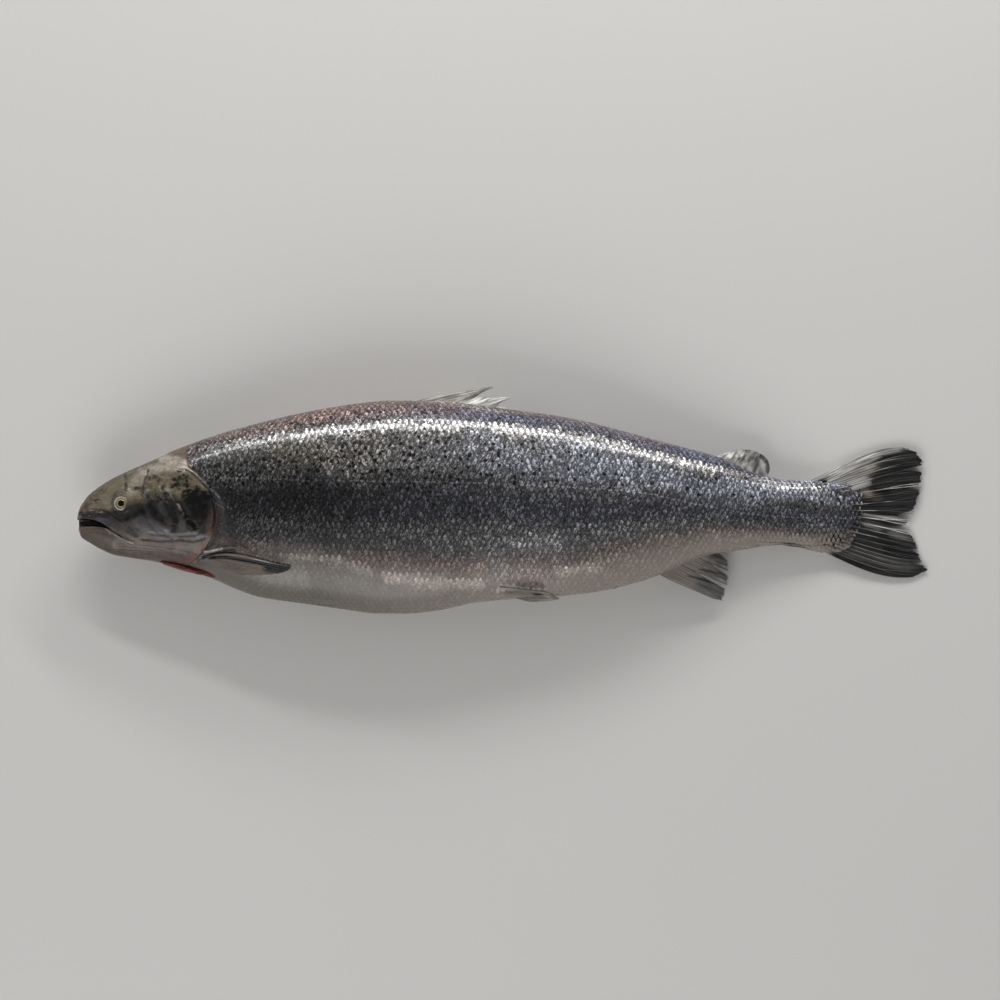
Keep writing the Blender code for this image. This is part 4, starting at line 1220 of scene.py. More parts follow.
def scale_tree(sizes, shape, material):
    """Geometry Nodes: a scale on every point of its bed, turned as the bed says, with a little
    random lean, and its own tone."""
    tree, given, values = geometry_group("scale_rows", [
        ("Bed", "Geometry", None), ("Scale", "Object", shape), ("Length", "Float", sizes.scale_length),
        ("Width", "Float", sizes.scale_width), ("Lean", "Float", sizes.scale_spread),
        ("Seed", "Int", sizes.seed), ("Material", "Material", material)], "Scales")
    size = named_attribute(tree, "size")
    most = maths(tree, "MULTIPLY", given["Lean"], named_attribute(tree, "loose"))
    least = maths(tree, "MULTIPLY", most, -1.0)
    lean = add(tree, "FunctionNodeRandomValue", {
        "Min": least, "Max": most, "Seed": given["Seed"]}, data_type="FLOAT_VECTOR").outputs["Value"]
    bed_turn, own_turn = (
        add(tree, "FunctionNodeEulerToRotation", {"Euler": euler}).outputs[0]
        for euler in (named_attribute(tree, "turn", "FLOAT_VECTOR"), lean))
    turned = add(tree, "FunctionNodeRotateRotation", {
        "Rotation": bed_turn, "Rotate By": own_turn}, rotation_space="LOCAL").outputs[0]
    long, wide = (maths(tree, "MULTIPLY", given[span], size) for span in ("Length", "Width"))
    spans = add(tree, "ShaderNodeCombineXYZ", {"X": long, "Y": wide, "Z": 1.0}).outputs[0]
    one = add(tree, "GeometryNodeObjectInfo", {"Object": given["Scale"]}).outputs["Geometry"]
    laid = add(tree, "GeometryNodeInstanceOnPoints", {
        "Points": given["Bed"], "Instance": one, "Rotation": turned, "Scale": spans}).outputs[0]
    other_seed = maths(tree, "ADD", given["Seed"], 1.0)
    tone = add(tree, "FunctionNodeRandomValue", {"Seed": other_seed}, data_type="FLOAT").outputs[1]
    toned = add(tree, "GeometryNodeStoreNamedAttribute", {
        "Geometry": laid, "Name": "tone", "Value": tone}, data_type="FLOAT", domain="INSTANCE").outputs[0]
    realized(tree, toned, given["Material"])
    return tree, values


def euler_angles(along, outward):
    """Euler angles that turn X along the row and Z outwards, for each point."""
    sideways = np.cross(outward, along)
    sideways /= np.linalg.norm(sideways, axis=-1, keepdims=True)
    upward = np.cross(along, sideways)
    return np.stack([np.arctan2(sideways[:, 2], upward[:, 2]), np.arcsin(np.clip(-along[:, 2], -1, 1)),
                     np.arctan2(along[:, 1], along[:, 0])], -1)


def crowding(at):
    """How close the scales stand at this distance, as a share of their distance at the middle."""
    return 1 - 0.17 * ease(450, 660, at) - 0.22 * (1 - ease(100, 200, at))


def tail_web(at, height, side):
    """The height of the tail fin's web above the slab at these places, on its upper or lower face."""
    fin = FINS["tail_fin"]
    u, v = np.meshgrid(np.linspace(0, 1, 120), np.linspace(0, 0.5, 40), indexing="ij")
    middle, _ = fin_places(fin, u, v)
    face = (middle[..., 2] + side * web_half(fin, v, middle)).ravel()
    apart = (at[:, None] - middle[..., 0].ravel()) ** 2 + (height[:, None] - middle[..., 1].ravel()) ** 2
    return np.maximum(LEAST_HEIGHT, face[apart.argmin(1)])


def scale_bed(side, sizes):
    """Where each scale of one flank lies, how it is turned and how large it is. The rows run along
    the flank from the side line, a row apart over the skin, each half a scale off the next."""
    pitch, row_pitch = sizes.scale_pitch / MM, sizes.row_pitch / MM
    lines = np.arange(SCALE_FRONT_LINE, SCALE_REAR_LINE, SCALE_LINE_STEP)
    turn = np.linspace(0.02, math.pi - 0.02, 200)
    angles = turn if side > 0 else 2 * math.pi - turn
    surface = skin_points(lines[:, None], angles[None, :])
    onto_web = np.flatnonzero(lines > SCALES_ON_WEB)
    for k in onto_web:
        at, height = np.full(len(angles), lines[k]), surface[onto_web[0] - 1, :, 1]
        web = tail_web(at, height, side)
        rise = skin_height(at, height, side) if lines[k] < FLESH_END else web
        surface[k] = np.stack([at, height, np.maximum(rise, web) if side > 0 else np.minimum(rise, web)], -1)
    outward = np.cross(np.gradient(surface, axis=1), np.gradient(surface, axis=0)) * side
    outward /= np.linalg.norm(outward, axis=-1, keepdims=True) + 1e-9
    steps = np.linalg.norm(np.diff(surface, axis=1), axis=-1)
    reach = np.concatenate([np.zeros((len(lines), 1)), np.cumsum(steps, 1)], 1)
    start = np.array([
        np.interp(-side_line(track[100, 0]), -track[:, 1], along) for track, along in zip(surface, reach)])
    close = crowding(lines)
    counted = np.concatenate([[0], np.cumsum(SCALE_LINE_STEP / (pitch * close[1:]))])
    parts = []
    for row in range(-ROWS_UP, ROWS_DOWN):
        offset = start + row * row_pitch * close
        inside = [k for k in range(len(lines)) if 1.0 < offset[k] < reach[k, -1] - 1.0]
        if len(inside) < 3:
            continue
        track = np.array([
            [np.interp(offset[k], reach[k], field[k, :, axis])
             for field in (surface, outward) for axis in range(3)]
            for k in inside])
        number = counted[inside]
        wanted = np.arange(math.ceil(number[0]), number[-1]) + 0.5 * (row % 2)

        def along_track(at, columns):
            return np.stack([np.interp(at, number, track[:, c]) for c in columns], -1)

        run = along_track(wanted + 0.3, range(3)) - along_track(wanted - 0.3, range(3))
        parts.append([along_track(wanted, range(3)), run, along_track(wanted, range(3, 6)),
                      np.full((len(wanted), 1), row)])
    here, run, out, row = (np.concatenate(group) for group in zip(*parts))
    run /= np.linalg.norm(run, axis=-1, keepdims=True) + 1e-9
    out -= run * (run * out).sum(-1, keepdims=True)
    out /= np.linalg.norm(out, axis=-1, keepdims=True) + 1e-9
    first = np.interp(here[:, 1], *zip(*SHOULDER), right=0)
    last = np.interp(here[:, 1], *zip(*SCALES_END))
    rng = np.random.default_rng(sizes.seed + (1 if side > 0 else 2))
    keep = (here[:, 0] > first) & (here[:, 0] < last - 1.5 * np.abs(rng.normal(0, 1, len(here))))
    along, across = (rng.normal(0, spread, (len(here), 1)) for spread in SCALES_ASTRAY)
    here = here + run * along + np.cross(out, run) * across
    size = (1.0 + rng.normal(0, SCALE_SIZE_SPREAD, len(here))) * crowding(here[:, 0])
    size *= 1 - 0.4 * ease(-16, 0, here[:, 0] - last)
    size *= 1 - 0.3 * (1 - ease(0, 16, here[:, 0] - first)) * (here[:, 1] < 16)
    here, run, out, size, row = (part[keep] for part in (here, run, out, size, row))
    mesh = line_mesh("scale_bed", here)
    values = pigment_at(here)
    loose = 0.25 + 0.75 * ease(0.15, 0.5, values["zone"]) * (1 - 0.6 * ease(0.7, 0.78, values["zone"]))
    values.update(turn=euler_angles(run, out), size=size, loose=loose, pore=(row[:, 0] == 0).astype(float))
    store(mesh, values)
    return placed("scales_left" if side > 0 else "scales_right", mesh)


def build_scales(sizes, materials):
    """The scales of both flanks, all a little off the slab."""
    shape = scale_shape(sizes)
    tree, values = scale_tree(sizes, shape, materials["scales"])
    for side in (1, -1):
        bed = scale_bed(side, sizes)
        mesh = grow(bed, tree, values)
        place = on_fish(lift_off_slab(mesh, SCALE_CLEARANCE))
        store(mesh, {"lie": skin_facing(place[:, 0], place[:, 1], side)})
        mesh.shade_smooth()
        mesh.set_sharp_from_angle(angle=math.radians(60))
        ride(bed, "skin", "salmon")
    bpy.data.objects.remove(shape)


# ---- The fins ------------------------------------------------------------------------------------


def in_middle_plane(droop):
    """The height of a fin that stands up from the back or the belly and droops."""
    return lambda u, v, x, y: spine_height(x) - droop * v * v


def along_flank(side, proud):
    """The height of a fin that lies along one flank."""
    def height(u, v, x, y):
        flank = skin_height(x, np.maximum(y, belly_edge(x) + 1.0), side)
        return np.maximum(0.75, flank + side * (proud * v - 0.3))

    return height


def tail_height(u, v, x, y):
    """The height of the tail fin, which waves towards its edge."""
    wave = 1.3 * np.sin(5.5 * u + 0.6) + 0.7 * np.sin(17 * u)
    return 4.4 - 1.4 * v + wave * v * v


FIN_DEFAULTS = dict(
    smooth=False, splits=(), bow=(0, 0), late_bow=False, warm=0.0, flesh=0.0, flesh_end=None, streaks=1.0,
    white_rays={}, bright_rays=(), pale_marks=(), warm_marks=(), flesh_marks=(), dark_marks=(), red_marks=())


def fin_of(**given):
    """A fin: what is given, and the plain values for the rest."""
    return {**FIN_DEFAULTS, **given}


FINS = {
    "tail_fin": fin_of(
        base=TAIL_BASE, edge=TAIL_EDGE, rays=19, root=5.0, height=tail_height, splits=TAIL_SPLITS,
        bow=(6.0, -7.0), late_bow=True, seed=3, start=0.12, pale=0.02, flesh_end=(683, 704),
        pale_marks=[(0.95, 5.0, [(638, 17), (652, 22), (668, 27)]),
                    (0.7, 6.0, [(666, 28), (682, 35), (700, 40)]),
                    (0.55, 9.0, [(664, 18), (680, 24), (694, 30)]),
                    (0.6, 6.0, [(674, 12), (684, 14), (692, 17)]),
                    (0.5, 3.0, [(700, 40), (722, 45)]), (0.35, 3.0, [(692, 8), (697, 5)]),
                    (0.12, 5.0, [(694, -22), (704, -24)]),
                    (0.07, 8.0, [(676, -46), (704, -53), (730, -59)]), (0.1, 4.0, [(716, -30), (730, -33)]),
                    (0.4, 1.4, [(692, -13), (730, -18)]), (0.25, 1.2, [(692, -22), (730, -27)])],
        flesh_marks=[(1.0, 5.0, [(636, -38), (648, -44), (659, -46)])],
        warm_marks=[(0.5, 5.0, [(696, 6), (704, 2)]), (0.3, 3.0, [(696, -14), (703, -15)]),
                    (0.35, 8.0, [(690, 24), (700, 28)])],
        dark_marks=[(0.5, 5.0, [(716, 30), (738, 28)]), (0.5, 2.5, [(700, 9), (712, 7)]),
                    (0.6, 4.0, [(712, -44), (736, -50)]), (0.4, 2.0, [(676, -52), (690, -58)])],
        white_rays={5: 0.8, 9: 1.0, 10: 0.9, 11: 0.3},
        # The bright marks near 700 mm along and 30 mm up are painted glints; the others are paler rays.
        bright_rays=[(0.8, 1.5, [(700, 29), (716, 35)]),
                     (0.7, 1.5, [(655, 22), (690, 39), (722, 46)]), (0.5, 1.2, [(700, 2), (716, -2)]),
                     (0.35, 5.0, [(690, -6), (700, -8)]), (0.3, 4.0, [(684, -28), (700, -30)]),
                     (0.16, 12.0, [(690, -46), (716, -54)]), (0.4, 10.0, [(690, 26), (712, 34)])]),
    "dorsal_fin": fin_of(
        base=DORSAL_BASE, edge=DORSAL_EDGE, rays=12, root=4.0, height=in_middle_plane(5.0),
        splits=DORSAL_SPLITS, bow=(2.5, 0), seed=5, start=0.15, pale=0.9,
        pale_marks=[(1.0, 4.0, [(300, 88), (340, 92)])], warm_marks=[(0.4, 3.0, [(300, 86), (330, 88)])],
        dark_marks=[(0.5, 1.6, [(322, 89.4), (334, 92)]), (0.5, 1.6, [(340, 88), (352, 92)]),
                    (0.4, 1.4, [(354, 95), (362, 98)])],
        bright_rays=[(1.0, 60.0, [(300, 88), (370, 90)])]),
    "adipose_fin": fin_of(
        base=ADIPOSE_BASE, edge=ADIPOSE_EDGE, smooth=True, rays=0, root=5.5, height=in_middle_plane(2.0),
        seed=1, start=0.3, pale=0.5, streaks=0.1,
        pale_marks=[(0.95, 4.0, [(558, 36), (570, 39), (584, 41)]), (0.8, 3.0, [(586, 22), (600, 19)])],
        dark_marks=[(0.75, 2.6, [(601, 39), (607, 33), (607, 25)]), (0.5, 2.0, [(590, 35), (592, 37)])],
        red_marks=[(0.9, 1.9, [(575, 30.5), (582, 27.5)])]),
    "anal_fin": fin_of(
        base=ANAL_BASE, edge=ANAL_EDGE, rays=10, root=4.5, height=in_middle_plane(11.0),
        splits=ANAL_SPLITS, bow=(-1.5, 0), seed=7, start=0.25, pale=0.17,
        flesh_marks=[(1.0, 11.0, [(506, -60), (524, -60), (545, -50)]),
                     (0.75, 9.0, [(520, -66), (536, -72)]),
                     (0.9, 9.0, [(530, -62), (542, -60)]), (0.5, 8.0, [(545, -58), (556, -53)])],
        warm_marks=[(0.4, 7.0, [(515, -62), (545, -58)])],
        dark_marks=[(0.7, 1.1, [(536, -66.5), (572, -77)]), (0.6, 1.1, [(546, -61), (572, -66)]),
                    (0.6, 3.0, [(558, -49), (572, -50)])],
        bright_rays=[(0.6, 3.5, [(548, -68), (571, -73)]), (0.6, 3.0, [(552, -58), (572, -60)])]),
}
for _side, _name in ((1, "left"), (-1, "right")):
    FINS["pectoral_fin_" + _name] = fin_of(
        base=PECTORAL_BASE, edge=PECTORAL_EDGE, smooth=True, rays=11, root=3.6,
        height=along_flank(_side, 1.6), bow=(5.0, 0), seed=11, start=0.1, pale=0.2, warm=0.85,
        flesh=0.3, streaks=0.4,
        dark_marks=[(1.0, 2.0, [(117, -50.5), (131, -49.8), (150, -53.2), (170, -57), (187, -59.4)]),
                    (1.0, 4.6, [(168, -59.5), (178, -61), (187, -61)])],
        # Painted glints along the top of the leading ray.
        bright_rays=[(1.0, 0.6, [(127, -48.6), (150, -50.9), (170, -54.2), (184, -57)])])
    FINS["pelvic_fin_" + _name] = fin_of(
        base=PELVIC_BASE, edge=PELVIC_EDGE, smooth=True, rays=8, root=3.0, height=along_flank(_side, 1.2),
        seed=13, start=0.1, pale=0.4, warm=0.45, flesh=0.6, streaks=0.4,
        pale_marks=[(1.0, 2.6, [(370, -78.2), (383, -79)]), (0.8, 1.6, [(395, -88), (418, -87.4)]),
                    (0.7, 2.4, [(406, -84), (416, -86)])],
        # Painted shade: brown along the fin's top under the fold, and a dark slit in the fin.
        warm_marks=[(1.0, 2.8, [(378, -80), (392, -81.6), (403, -82)])],
        dark_marks=[(0.95, 1.1, [(400, -82.2), (408, -82.9)])],
        bright_rays=[(0.35, 30.0, [(375, -80), (410, -86)])])
BOW_PEAK = 27 / 4  # brings the largest v * v * (1 - v) to 1
RAY_SEED = 50
WEB_COLUMNS_A_RAY = 6
WEB_ROWS = 22
WEB_THICKNESS = 0.6
RAY_SUNK = 0.35
RAY_CLEARANCE = 0.03
RAY_POINTS = 14
RAY_TAPER = 0.45
BRANCH_SPREADS = (0.16, 0.08)
BRANCH_THINNING = (0.33, 0.2)
TIP_OVERHANG = 0.012
SCALLOP = 1.0
FRAYED = 1.6


def fin_places(fin, u, v, reach=1.0):
    """Points of a fin's middle plane: u runs along the fin, v from its base to its edge."""
    bx, by = path_along(fin["base"], True)(u)
    ex, ey = path_along(fin["edge"], fin["smooth"])(u)
    length = np.hypot(ex - bx, ey - by)
    v = v * reach
    bow_here = fin["bow"][0] * np.clip(1 - 3 * u, 0, 1) + fin["bow"][1] * np.clip(3 * u - 2, 0, 1)
    bend = bow_here * BOW_PEAK * v * (1 - v) * (v if fin["late_bow"] else 1 - v) / length
    x = bx + (ex - bx) * v - bend * (ey - by)
    y = by + (ey - by) * v + bend * (ex - bx)
    return np.stack([x, y, fin["height"](u, v, x, y)], -1), length


def fin_tints(fin, points):
    """The attributes that colour a fin at these points."""
    marked = {name: patches(points[..., 0], points[..., 1], fin[name + "_marks"])
              for name in ("pale", "warm", "flesh", "dark", "red")}
    return {
        **marked,
        "pale": np.maximum(fin["pale"], marked["pale"]),
        "warm": np.maximum(fin["warm"], marked["warm"]),
        "flesh": np.maximum(fin["flesh"], marked["flesh"]) * (1 - 0.9 * marked["pale"]),
    }


def split_reach(u, fin):
    """How far out the web reaches at u: it falls away to a V at each split."""
    narrow = 0.35 / max(fin["rays"] * 0.84, 5)
    reach = np.ones(np.shape(u))
    for at, depth in fin["splits"]:
        reach = np.minimum(reach, depth + (1 - depth) * np.clip(np.abs(u - at) / narrow, 0, 1))
    return reach


def web_half(fin, v, middle):
    """Half the web's thickness at v. Where the flesh ends bluntly, the web takes over from it."""
    half = (fin["root"] + (WEB_THICKNESS - fin["root"]) * v ** 0.7) / 2
    if fin["flesh_end"]:
        at, height = middle[..., 0], middle[..., 1]
        flesh = skin_height(np.minimum(at, fin["flesh_end"][0]), height, 1) - middle[..., 2]
        half = half + np.maximum(flesh - half, 0) * (1 - ease(*fin["flesh_end"], at))
    return half


def build_web(name, fin, sizes, material):
    """The web of one fin: a thin closed blade with a scalloped, frayed edge."""
    rng = np.random.default_rng(sizes.seed + fin["seed"])
    columns = max(48, fin["rays"] * WEB_COLUMNS_A_RAY) + 1
    u = np.union1d(np.linspace(0, 1, columns), [s[0] for s in fin["splits"]])
    v = np.linspace(0, 1, WEB_ROWS)
    _, length = fin_places(fin, u, 1.0)
    fray = rng.random(len(u)) * FRAYED * (rng.random(len(u)) < 0.5)
    ragged = fray + SCALLOP * np.abs(np.sin(math.pi * u * fin["rays"])) if fin["rays"] else 0.0
    reach = split_reach(u, fin) - ragged / length
    middle, _ = fin_places(fin, u[:, None], v[None, :], reach[:, None])
    half = web_half(fin, v[None, :], middle)
    top, bottom = middle.copy(), middle.copy()
    top[..., 2] += half
    bottom[..., 2] = np.maximum(LEAST_HEIGHT, bottom[..., 2] - half)
    points = np.concatenate([top.reshape(-1, 3), bottom.reshape(-1, 3)])
    mesh = mesh_from(name, in_metres(points), closed_sheet(len(u), len(v), triangles=True))
    corners = np.empty(len(mesh.loops), int)
    mesh.loops.foreach_get("vertex_index", corners)
    uv = np.stack(np.meshgrid(u * fin["streaks"], v, indexing="ij"), -1).reshape(-1, 2)
    mesh.uv_layers.new(name="along_rays").data.foreach_set("uv", np.concatenate([uv, uv])[corners].ravel())
    store(mesh, fin_tints(fin, points))
    ride(placed(name, dressed(mesh, material)), "skin", "salmon")


def ray_tree(sizes, material):
    """Geometry Nodes: a round ray along every path, as thick as its radius attribute says."""
    tree, given, values = geometry_group("fin_rays", [
        ("Paths", "Geometry", None), ("Sides", "Int", sizes.ray_sides),
        ("Material", "Material", material)], "Rays")
    curves = add(tree, "GeometryNodeMeshToCurve", {"Mesh": given["Paths"]})
    ring = add(tree, "GeometryNodeCurvePrimitiveCircle", {"Resolution": given["Sides"], "Radius": 1.0})
    tubes = add(tree, "GeometryNodeCurveToMesh", {
        "Curve": curves.outputs[0], "Profile Curve": ring.outputs[0],
        "Scale": named_attribute(tree, "thick"), "Fill Caps": True})
    realized(tree, tubes.outputs[0], given["Material"])
    return tree, values


def ray_paths(name, fin, sizes):
    """The rays of one fin as lines that branch twice on their way out."""
    rng = np.random.default_rng(sizes.seed + RAY_SEED + fin["seed"])
    points, edges, thick, white = [], [], [], []
    gap = 1.0 / fin["rays"]
    for ray in range(fin["rays"]):
        middle = (ray + 0.5) * gap
        fork, fork_again = 0.5 + 0.1 * rng.random(), 0.72 + 0.08 * rng.random()
        end = float(split_reach(np.array(middle), fin))
        for face, first, second in itertools.product((1, -1), (-1, 1), (-1, 1)):
            v = np.linspace(fin["start"], 1.0, RAY_POINTS)
            spread = first * BRANCH_SPREADS[0] * gap * ease(fork, fork + 0.3, v)
            spread = spread + second * BRANCH_SPREADS[1] * gap * ease(fork_again, 1.0, v)
            # The first branch runs the whole way, and the others start where they leave it.
            leaves_at = fork if second < 0 else fork_again
            begin = 0 if first < 0 and second < 0 else max(0, int(np.searchsorted(v, leaves_at)) - 1)
            v, spread = v[begin:], spread[begin:]
            tip = end * (1.0 - 0.02 * rng.random()) + rng.choice([0.0, TIP_OVERHANG])
            track, _ = fin_places(fin, np.clip(middle + spread, 0.004, 0.996), v * tip)
            first_thinning, second_thinning = (
                thinning * ease(branching, branching + 0.1, v)
                for thinning, branching in zip(BRANCH_THINNING, (fork, fork_again)))
            branch = 1.0 - first_thinning - second_thinning
            radius = sizes.ray_radius / MM * branch * (1 - RAY_TAPER * v)
            track[:, 2] += face * np.maximum(web_half(fin, v * tip, track) - RAY_SUNK * radius, 0)
            start = len(points)
            points += track.tolist()
            edges += [(start + k, start + k + 1) for k in range(len(v) - 1)]
            thick += radius.tolist()
            white += (fin["white_rays"].get(ray, 0.0) * ease(0.2, 0.5, v)).tolist()
    points = np.array(points)
    tints = fin_tints(fin, points)
    bright = np.maximum(patches(points[:, 0], points[:, 1], fin["bright_rays"]), np.array(white))
    tints["pale"] = np.maximum(1.15 * tints["pale"] + 0.02, bright)
    tints["flesh"] = tints["flesh"] * (1 - bright)
    tints["warm"] = tints["warm"] * (1 - 0.8 * bright)
    mesh = line_mesh(name, points, edges)
    store(mesh, {"thick": np.array(thick) * MM, **tints})
    return placed(name, mesh)


def build_rays(name, fin, sizes, tree, values):
    """The rays of one fin, as round tubes."""
    rays = ray_paths(name.replace("fin", "rays"), fin, sizes)
    mesh = grow(rays, tree, values)
    lift_off_slab(mesh, RAY_CLEARANCE)
    mesh.shade_smooth()
    ride(rays, "skin", "salmon")


# ---- Eyes, mouth and gill flesh ------------------------------------------------------------------
# The eye's profile from its middle outwards: share of the radius, and height over the plain dome.
EYE_PROFILE = [(0.0, 1.5), (0.2, 1.45), (0.33, 1.2), (0.36, 0.75), (0.42, 0.45), (0.56, 0.3), (0.66, 0.5),
               (0.74, 0.55), (0.78, -0.1), (0.84, -0.5), (0.9, -0.9), (0.95, -1.8), (1.0, -4.2)]
EYE_SEGMENTS = 72
EYE_RIM = -4.2
EYE_BACK = 2.0


def build_eye(side, material):
    """An eyeball with the rings of its iris and a clear dome."""
    profile = smooth_curve(EYE_PROFILE)
    front, back = np.linspace(0.02, 1.0, 40) ** 0.9, np.linspace(0.96, 0.02, 12)
    shares = np.concatenate([front, back])[:, None]
    heights = np.concatenate([profile(front), EYE_RIM - EYE_BACK * np.sqrt(1 - back ** 2)])[:, None]
    x, y = EYE_AT
    top = float(skin_height(x, y, side))
    turn = np.arange(EYE_SEGMENTS) * 2 * math.pi / EYE_SEGMENTS
    mesh = ring_mesh("eye", np.stack([
        x + shares * EYE_RADIUS * np.cos(turn), y + shares * EYE_RADIUS * np.sin(turn),
        top + side * (heights + 0 * turn)], -1))
    points = on_fish(mesh_points(mesh))
    right, up = (points[:, 0] - x) / EYE_RADIUS, (points[:, 1] - y) / EYE_RADIUS
    radius = np.hypot(right, up)
    lower_left = np.clip(-(right + 0.9 * up) / np.maximum(radius, 0.05), 0, 1.3)
    arc = 0.6 * ease(0.6, 1.25, lower_left) * ease(0.4, 0.5, radius) * (1 - ease(0.56, 0.66, radius))
    behind = side * (points[:, 2] - top) < EYE_RIM - 0.1
    store(mesh, {"ring": np.where(behind, 1.0, radius), "arc": arc})
    name = "left" if side > 0 else "right"
    ride(placed("eyeball_" + name, dressed(mesh, material)), "eye", "eye_" + name)


def build_mouth(material):
    """The moist lining that closes the mouth a little way in."""
    along, across = np.linspace(1.8, 30.5, 40), np.linspace(0, 1, 16)
    x, share = np.meshgrid(along, across, indexing="ij")
    top, bottom = smooth_curve(MOUTH_TOP)(x), smooth_curve(MOUTH_BOTTOM)(x)
    deep = section(x)[2] * (0.3 + 0.55 * np.abs(2 * share - 1) ** 4)
    y = bottom + (top - bottom) * share
    sheets = [np.stack([x, y, spine_height(x) + side * deep], -1).reshape(-1, 3) for side in (1, -1)]
    mesh = mesh_from("mouth_lining", in_metres(np.concatenate(sheets)), closed_sheet(*x.shape))
    ride(placed("mouth_lining", dressed(mesh, material)), "gill_flesh")


def build_gill_flesh(material):
    """Red flesh in the throat slit, with fine ridges across it."""
    mesh = throat_lens("gill_flesh_ridged", 0.0)
    (x0, y0), (x1, y1) = THROAT_SLIT_ENDS
    turn = math.atan2(y1 - y0, x1 - x0)
    points = on_fish(mesh_points(mesh))
    along = (points[:, 0] - x0) * math.cos(turn) + (points[:, 1] - y0) * math.sin(turn)
    centre = points.mean(0)
    ridges = 1 + 0.05 * np.sin(along * 2.4 + 0.6 * np.sin(points[:, 2])) - 0.03
    shaped = centre + (points - centre) * np.stack([np.ones_like(ridges), ridges, ridges], -1)
    mesh.vertices.foreach_set("co", in_metres(shaped).ravel())
    ride(placed("gill_flesh_ridged", dressed(mesh, material)), "gill_flesh", "gill_flesh")


# ---- Stage ---------------------------------------------------------------------------------------
PICTURE_WIDTH = 877.2 * MM
PICTURE_CENTRE = (-3.1 * MM, -0.8 * MM)
PICTURE_PLANE = 36 * MM
CAMERA_LENS = 250.0
SENSOR = 36.0
FLOOR_HALF = 4.0
FLOOR_GAP = 0.0002
CAMERA_REACH = 100


def area_light(name, place, aim, width, height, power, roll=0.0):
    """A soft box that looks at its aim, rolled about its own axis."""
    data = bpy.data.lights.new(name, "AREA")
    data.shape = "RECTANGLE"
    data.size, data.size_y, data.energy = width, height, power
    light = placed(name, data)
    light.location = place
    direction = np.array(aim) - np.array(place)
    facing = Euler((math.atan2(math.hypot(*direction[:2]), -direction[2]), 0,
                    math.atan2(direction[1], direction[0]) - math.pi / 2)).to_matrix()
    light.rotation_euler = (facing @ Matrix.Rotation(math.radians(roll), 3, "Z")).to_euler()
    light.visible_camera = False


def soft_room():
    """Plain light from all sides, dim overhead so that the flank keeps its depth."""
    world = bpy.data.worlds.new("soft_room")
    world.use_nodes = True
    tree = world.node_tree
    towards = add(tree, "ShaderNodeTexCoord").outputs["Generated"]
    height = add(tree, "ShaderNodeSeparateXYZ", {"Vector": towards}).outputs["Z"]
    feed(tree, tree.nodes["Background"], {
        "Color": (1, 1, 1, 1), "Strength": remap(tree, height, 0.3, 0.95, 0.5, 0.07)})
    return world


def build_stage(materials):
    """The floor, the camera straight above the fish, and the lights."""
    scene = bpy.context.scene
    corners = [(x * FLOOR_HALF, y * FLOOR_HALF, 0) for x, y in ((-1, -1), (1, -1), (1, 1), (-1, 1))]
    floor = placed("floor", dressed(mesh_from("floor", corners, [(0, 1, 2, 3)]), materials["floor"]))
    floor.location.z = -FLOOR_GAP
    camera = bpy.data.cameras.new("camera")
    camera.lens, camera.sensor_width = CAMERA_LENS, SENSOR
    view = placed("camera", camera)
    distance = PICTURE_WIDTH / 2 / (SENSOR / 2 / CAMERA_LENS)
    view.location = (*PICTURE_CENTRE, PICTURE_PLANE + distance)
    camera.clip_end = CAMERA_REACH
    scene.camera = view
    area_light("front_strip", (-0.53, 1.82, 1.05), (-0.53, 0.12, -0.05), 1.3, 0.13, 12.8, roll=-13)
    area_light("rear_strip", (0.64, 1.75, 0.86), (0.64, 0.05, 0.05), 1.45, 0.13, 14, roll=-18)
    area_light("front_soft", (-0.5, -2.2, 1.6), (0, 0, 0.04), 2.2, 1.6, 26)
    area_light("head_soft", (-2.2, 0.5, 1.6), (-0.2, 0, 0.04), 1.0, 1.0, 4)
    scene.world = soft_room()
    scene.view_settings.view_transform = "Standard"


# ---- Operators, panel and main -------------------------------------------------------------------
MATERIALS = {}


def make_materials(context):
    """All materials, made once."""
    if not MATERIALS:
        colours = context.scene.salmon_colours
        pigment = pigment_group(colours)
        MATERIALS.update(
            skin=wet_skin(pigment), scales=scale_silver(pigment), web=fin_web(colours),
            ray=fin_ray(colours), eye=wet_eye(colours), floor=matt_floor(colours),
            # The mouth's lining is near black: painted shade inside the mouth.
            mouth=wet_tissue("mouth_tissue", linear("#050404"), linear("#1a0d0b")),
            gill=wet_tissue("gill_tissue", linear("#4a1409"), colours.blood_red))
    return MATERIALS


class SALMON_OT_stage(bpy.types.Operator):
    """Add the floor, the lights and the camera"""

    bl_idname = "salmon.stage"
    bl_label = "Add stage"

    def execute(self, context):
        build_stage(make_materials(context))
        return {"FINISHED"}


class SALMON_OT_skin(bpy.types.Operator):
    """Add the skin of head and body"""

    bl_idname = "salmon.skin"
    bl_label = "Add skin"

    def execute(self, context):
        build_skin(make_materials(context))
        return {"FINISHED"}


class SALMON_OT_scales(bpy.types.Operator):
    """Lay the rows of scales over both flanks"""

    bl_idname = "salmon.scales"
    bl_label = "Lay scales"

    def execute(self, context):
        build_scales(context.scene.salmon_sizes, make_materials(context))
        return {"FINISHED"}


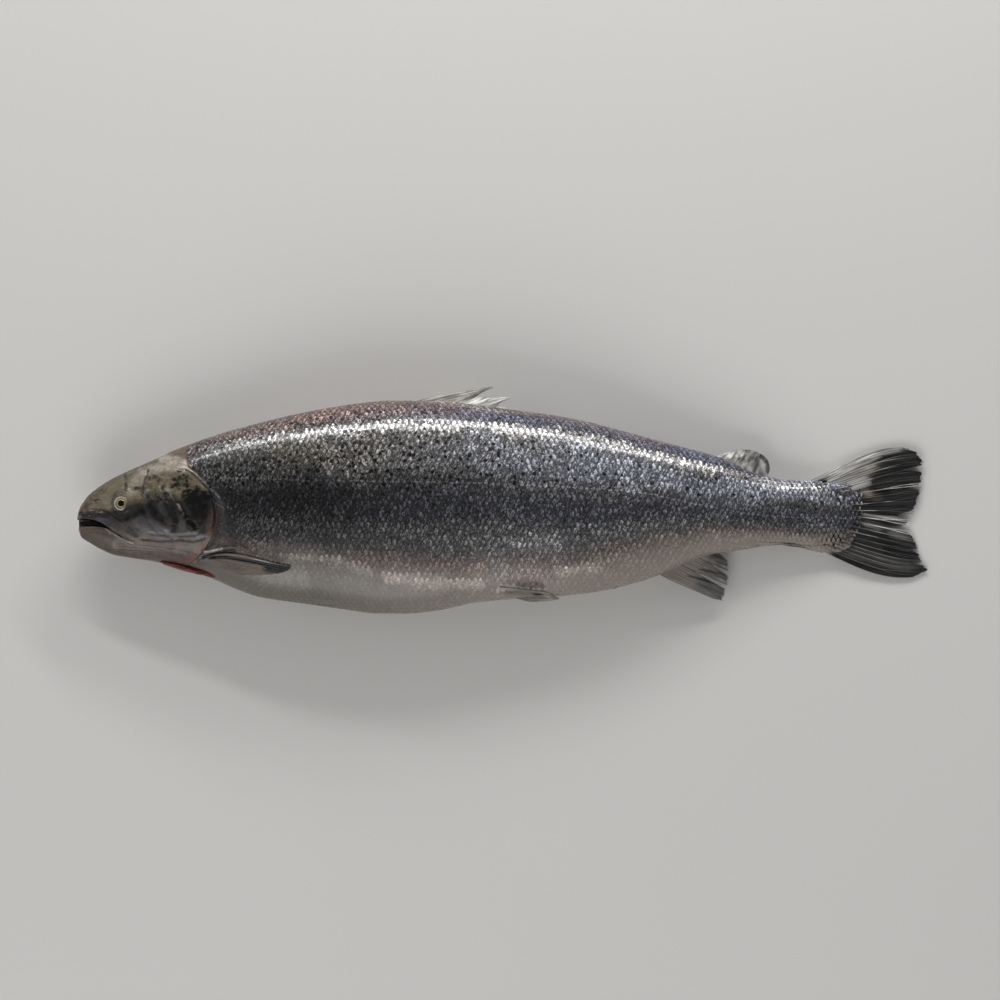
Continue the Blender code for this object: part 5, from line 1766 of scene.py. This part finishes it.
class SALMON_OT_fins(bpy.types.Operator):
    """Add the webs and the rays of all fins"""

    bl_idname = "salmon.fins"
    bl_label = "Add fins"

    def execute(self, context):
        sizes, materials = context.scene.salmon_sizes, make_materials(context)
        tree, values = ray_tree(sizes, materials["ray"])
        for name, fin in FINS.items():
            build_web(name, fin, sizes, materials["web"])
            if fin["rays"]:
                build_rays(name, fin, sizes, tree, values)
        return {"FINISHED"}


class SALMON_OT_eyes(bpy.types.Operator):
    """Add both eyes"""

    bl_idname = "salmon.eyes"
    bl_label = "Add eyes"

    def execute(self, context):
        for side in (1, -1):
            build_eye(side, make_materials(context)["eye"])
        return {"FINISHED"}


class SALMON_OT_mouth(bpy.types.Operator):
    """Add the mouth's lining and the gill flesh at the throat"""

    bl_idname = "salmon.mouth"
    bl_label = "Add mouth and gill flesh"

    def execute(self, context):
        build_mouth(make_materials(context)["mouth"])
        build_gill_flesh(make_materials(context)["gill"])
        return {"FINISHED"}


OPERATORS = (
    SALMON_OT_stage, SALMON_OT_skin, SALMON_OT_scales, SALMON_OT_fins, SALMON_OT_eyes, SALMON_OT_mouth)


class SALMON_PT_panel(bpy.types.Panel):
    """Lists the salmon's sizes, colours and operators"""

    bl_idname = "SALMON_PT_panel"
    bl_label = "Salmon"
    bl_space_type = "VIEW_3D"
    bl_region_type = "UI"
    bl_category = "Salmon"

    def draw(self, context):
        for group in (context.scene.salmon_sizes, context.scene.salmon_colours):
            for name in group.__annotations__:
                self.layout.prop(group, name)
        for operator in OPERATORS:
            self.layout.operator(operator.bl_idname)


CLASSES = (SalmonSizes, SalmonColours, *OPERATORS, SALMON_PT_panel)


def register():
    for item in CLASSES:
        bpy.utils.register_class(item)
    bpy.types.Scene.salmon_sizes = PointerProperty(type=SalmonSizes)
    bpy.types.Scene.salmon_colours = PointerProperty(type=SalmonColours)


def unregister():
    del bpy.types.Scene.salmon_colours
    del bpy.types.Scene.salmon_sizes
    for item in reversed(CLASSES):
        bpy.utils.unregister_class(item)


def main():
    register()
    for operator in (bpy.ops.salmon.stage, bpy.ops.salmon.skin, bpy.ops.salmon.scales, bpy.ops.salmon.fins,
                     bpy.ops.salmon.eyes, bpy.ops.salmon.mouth):
        operator()


if __name__ == "__main__":
    main()
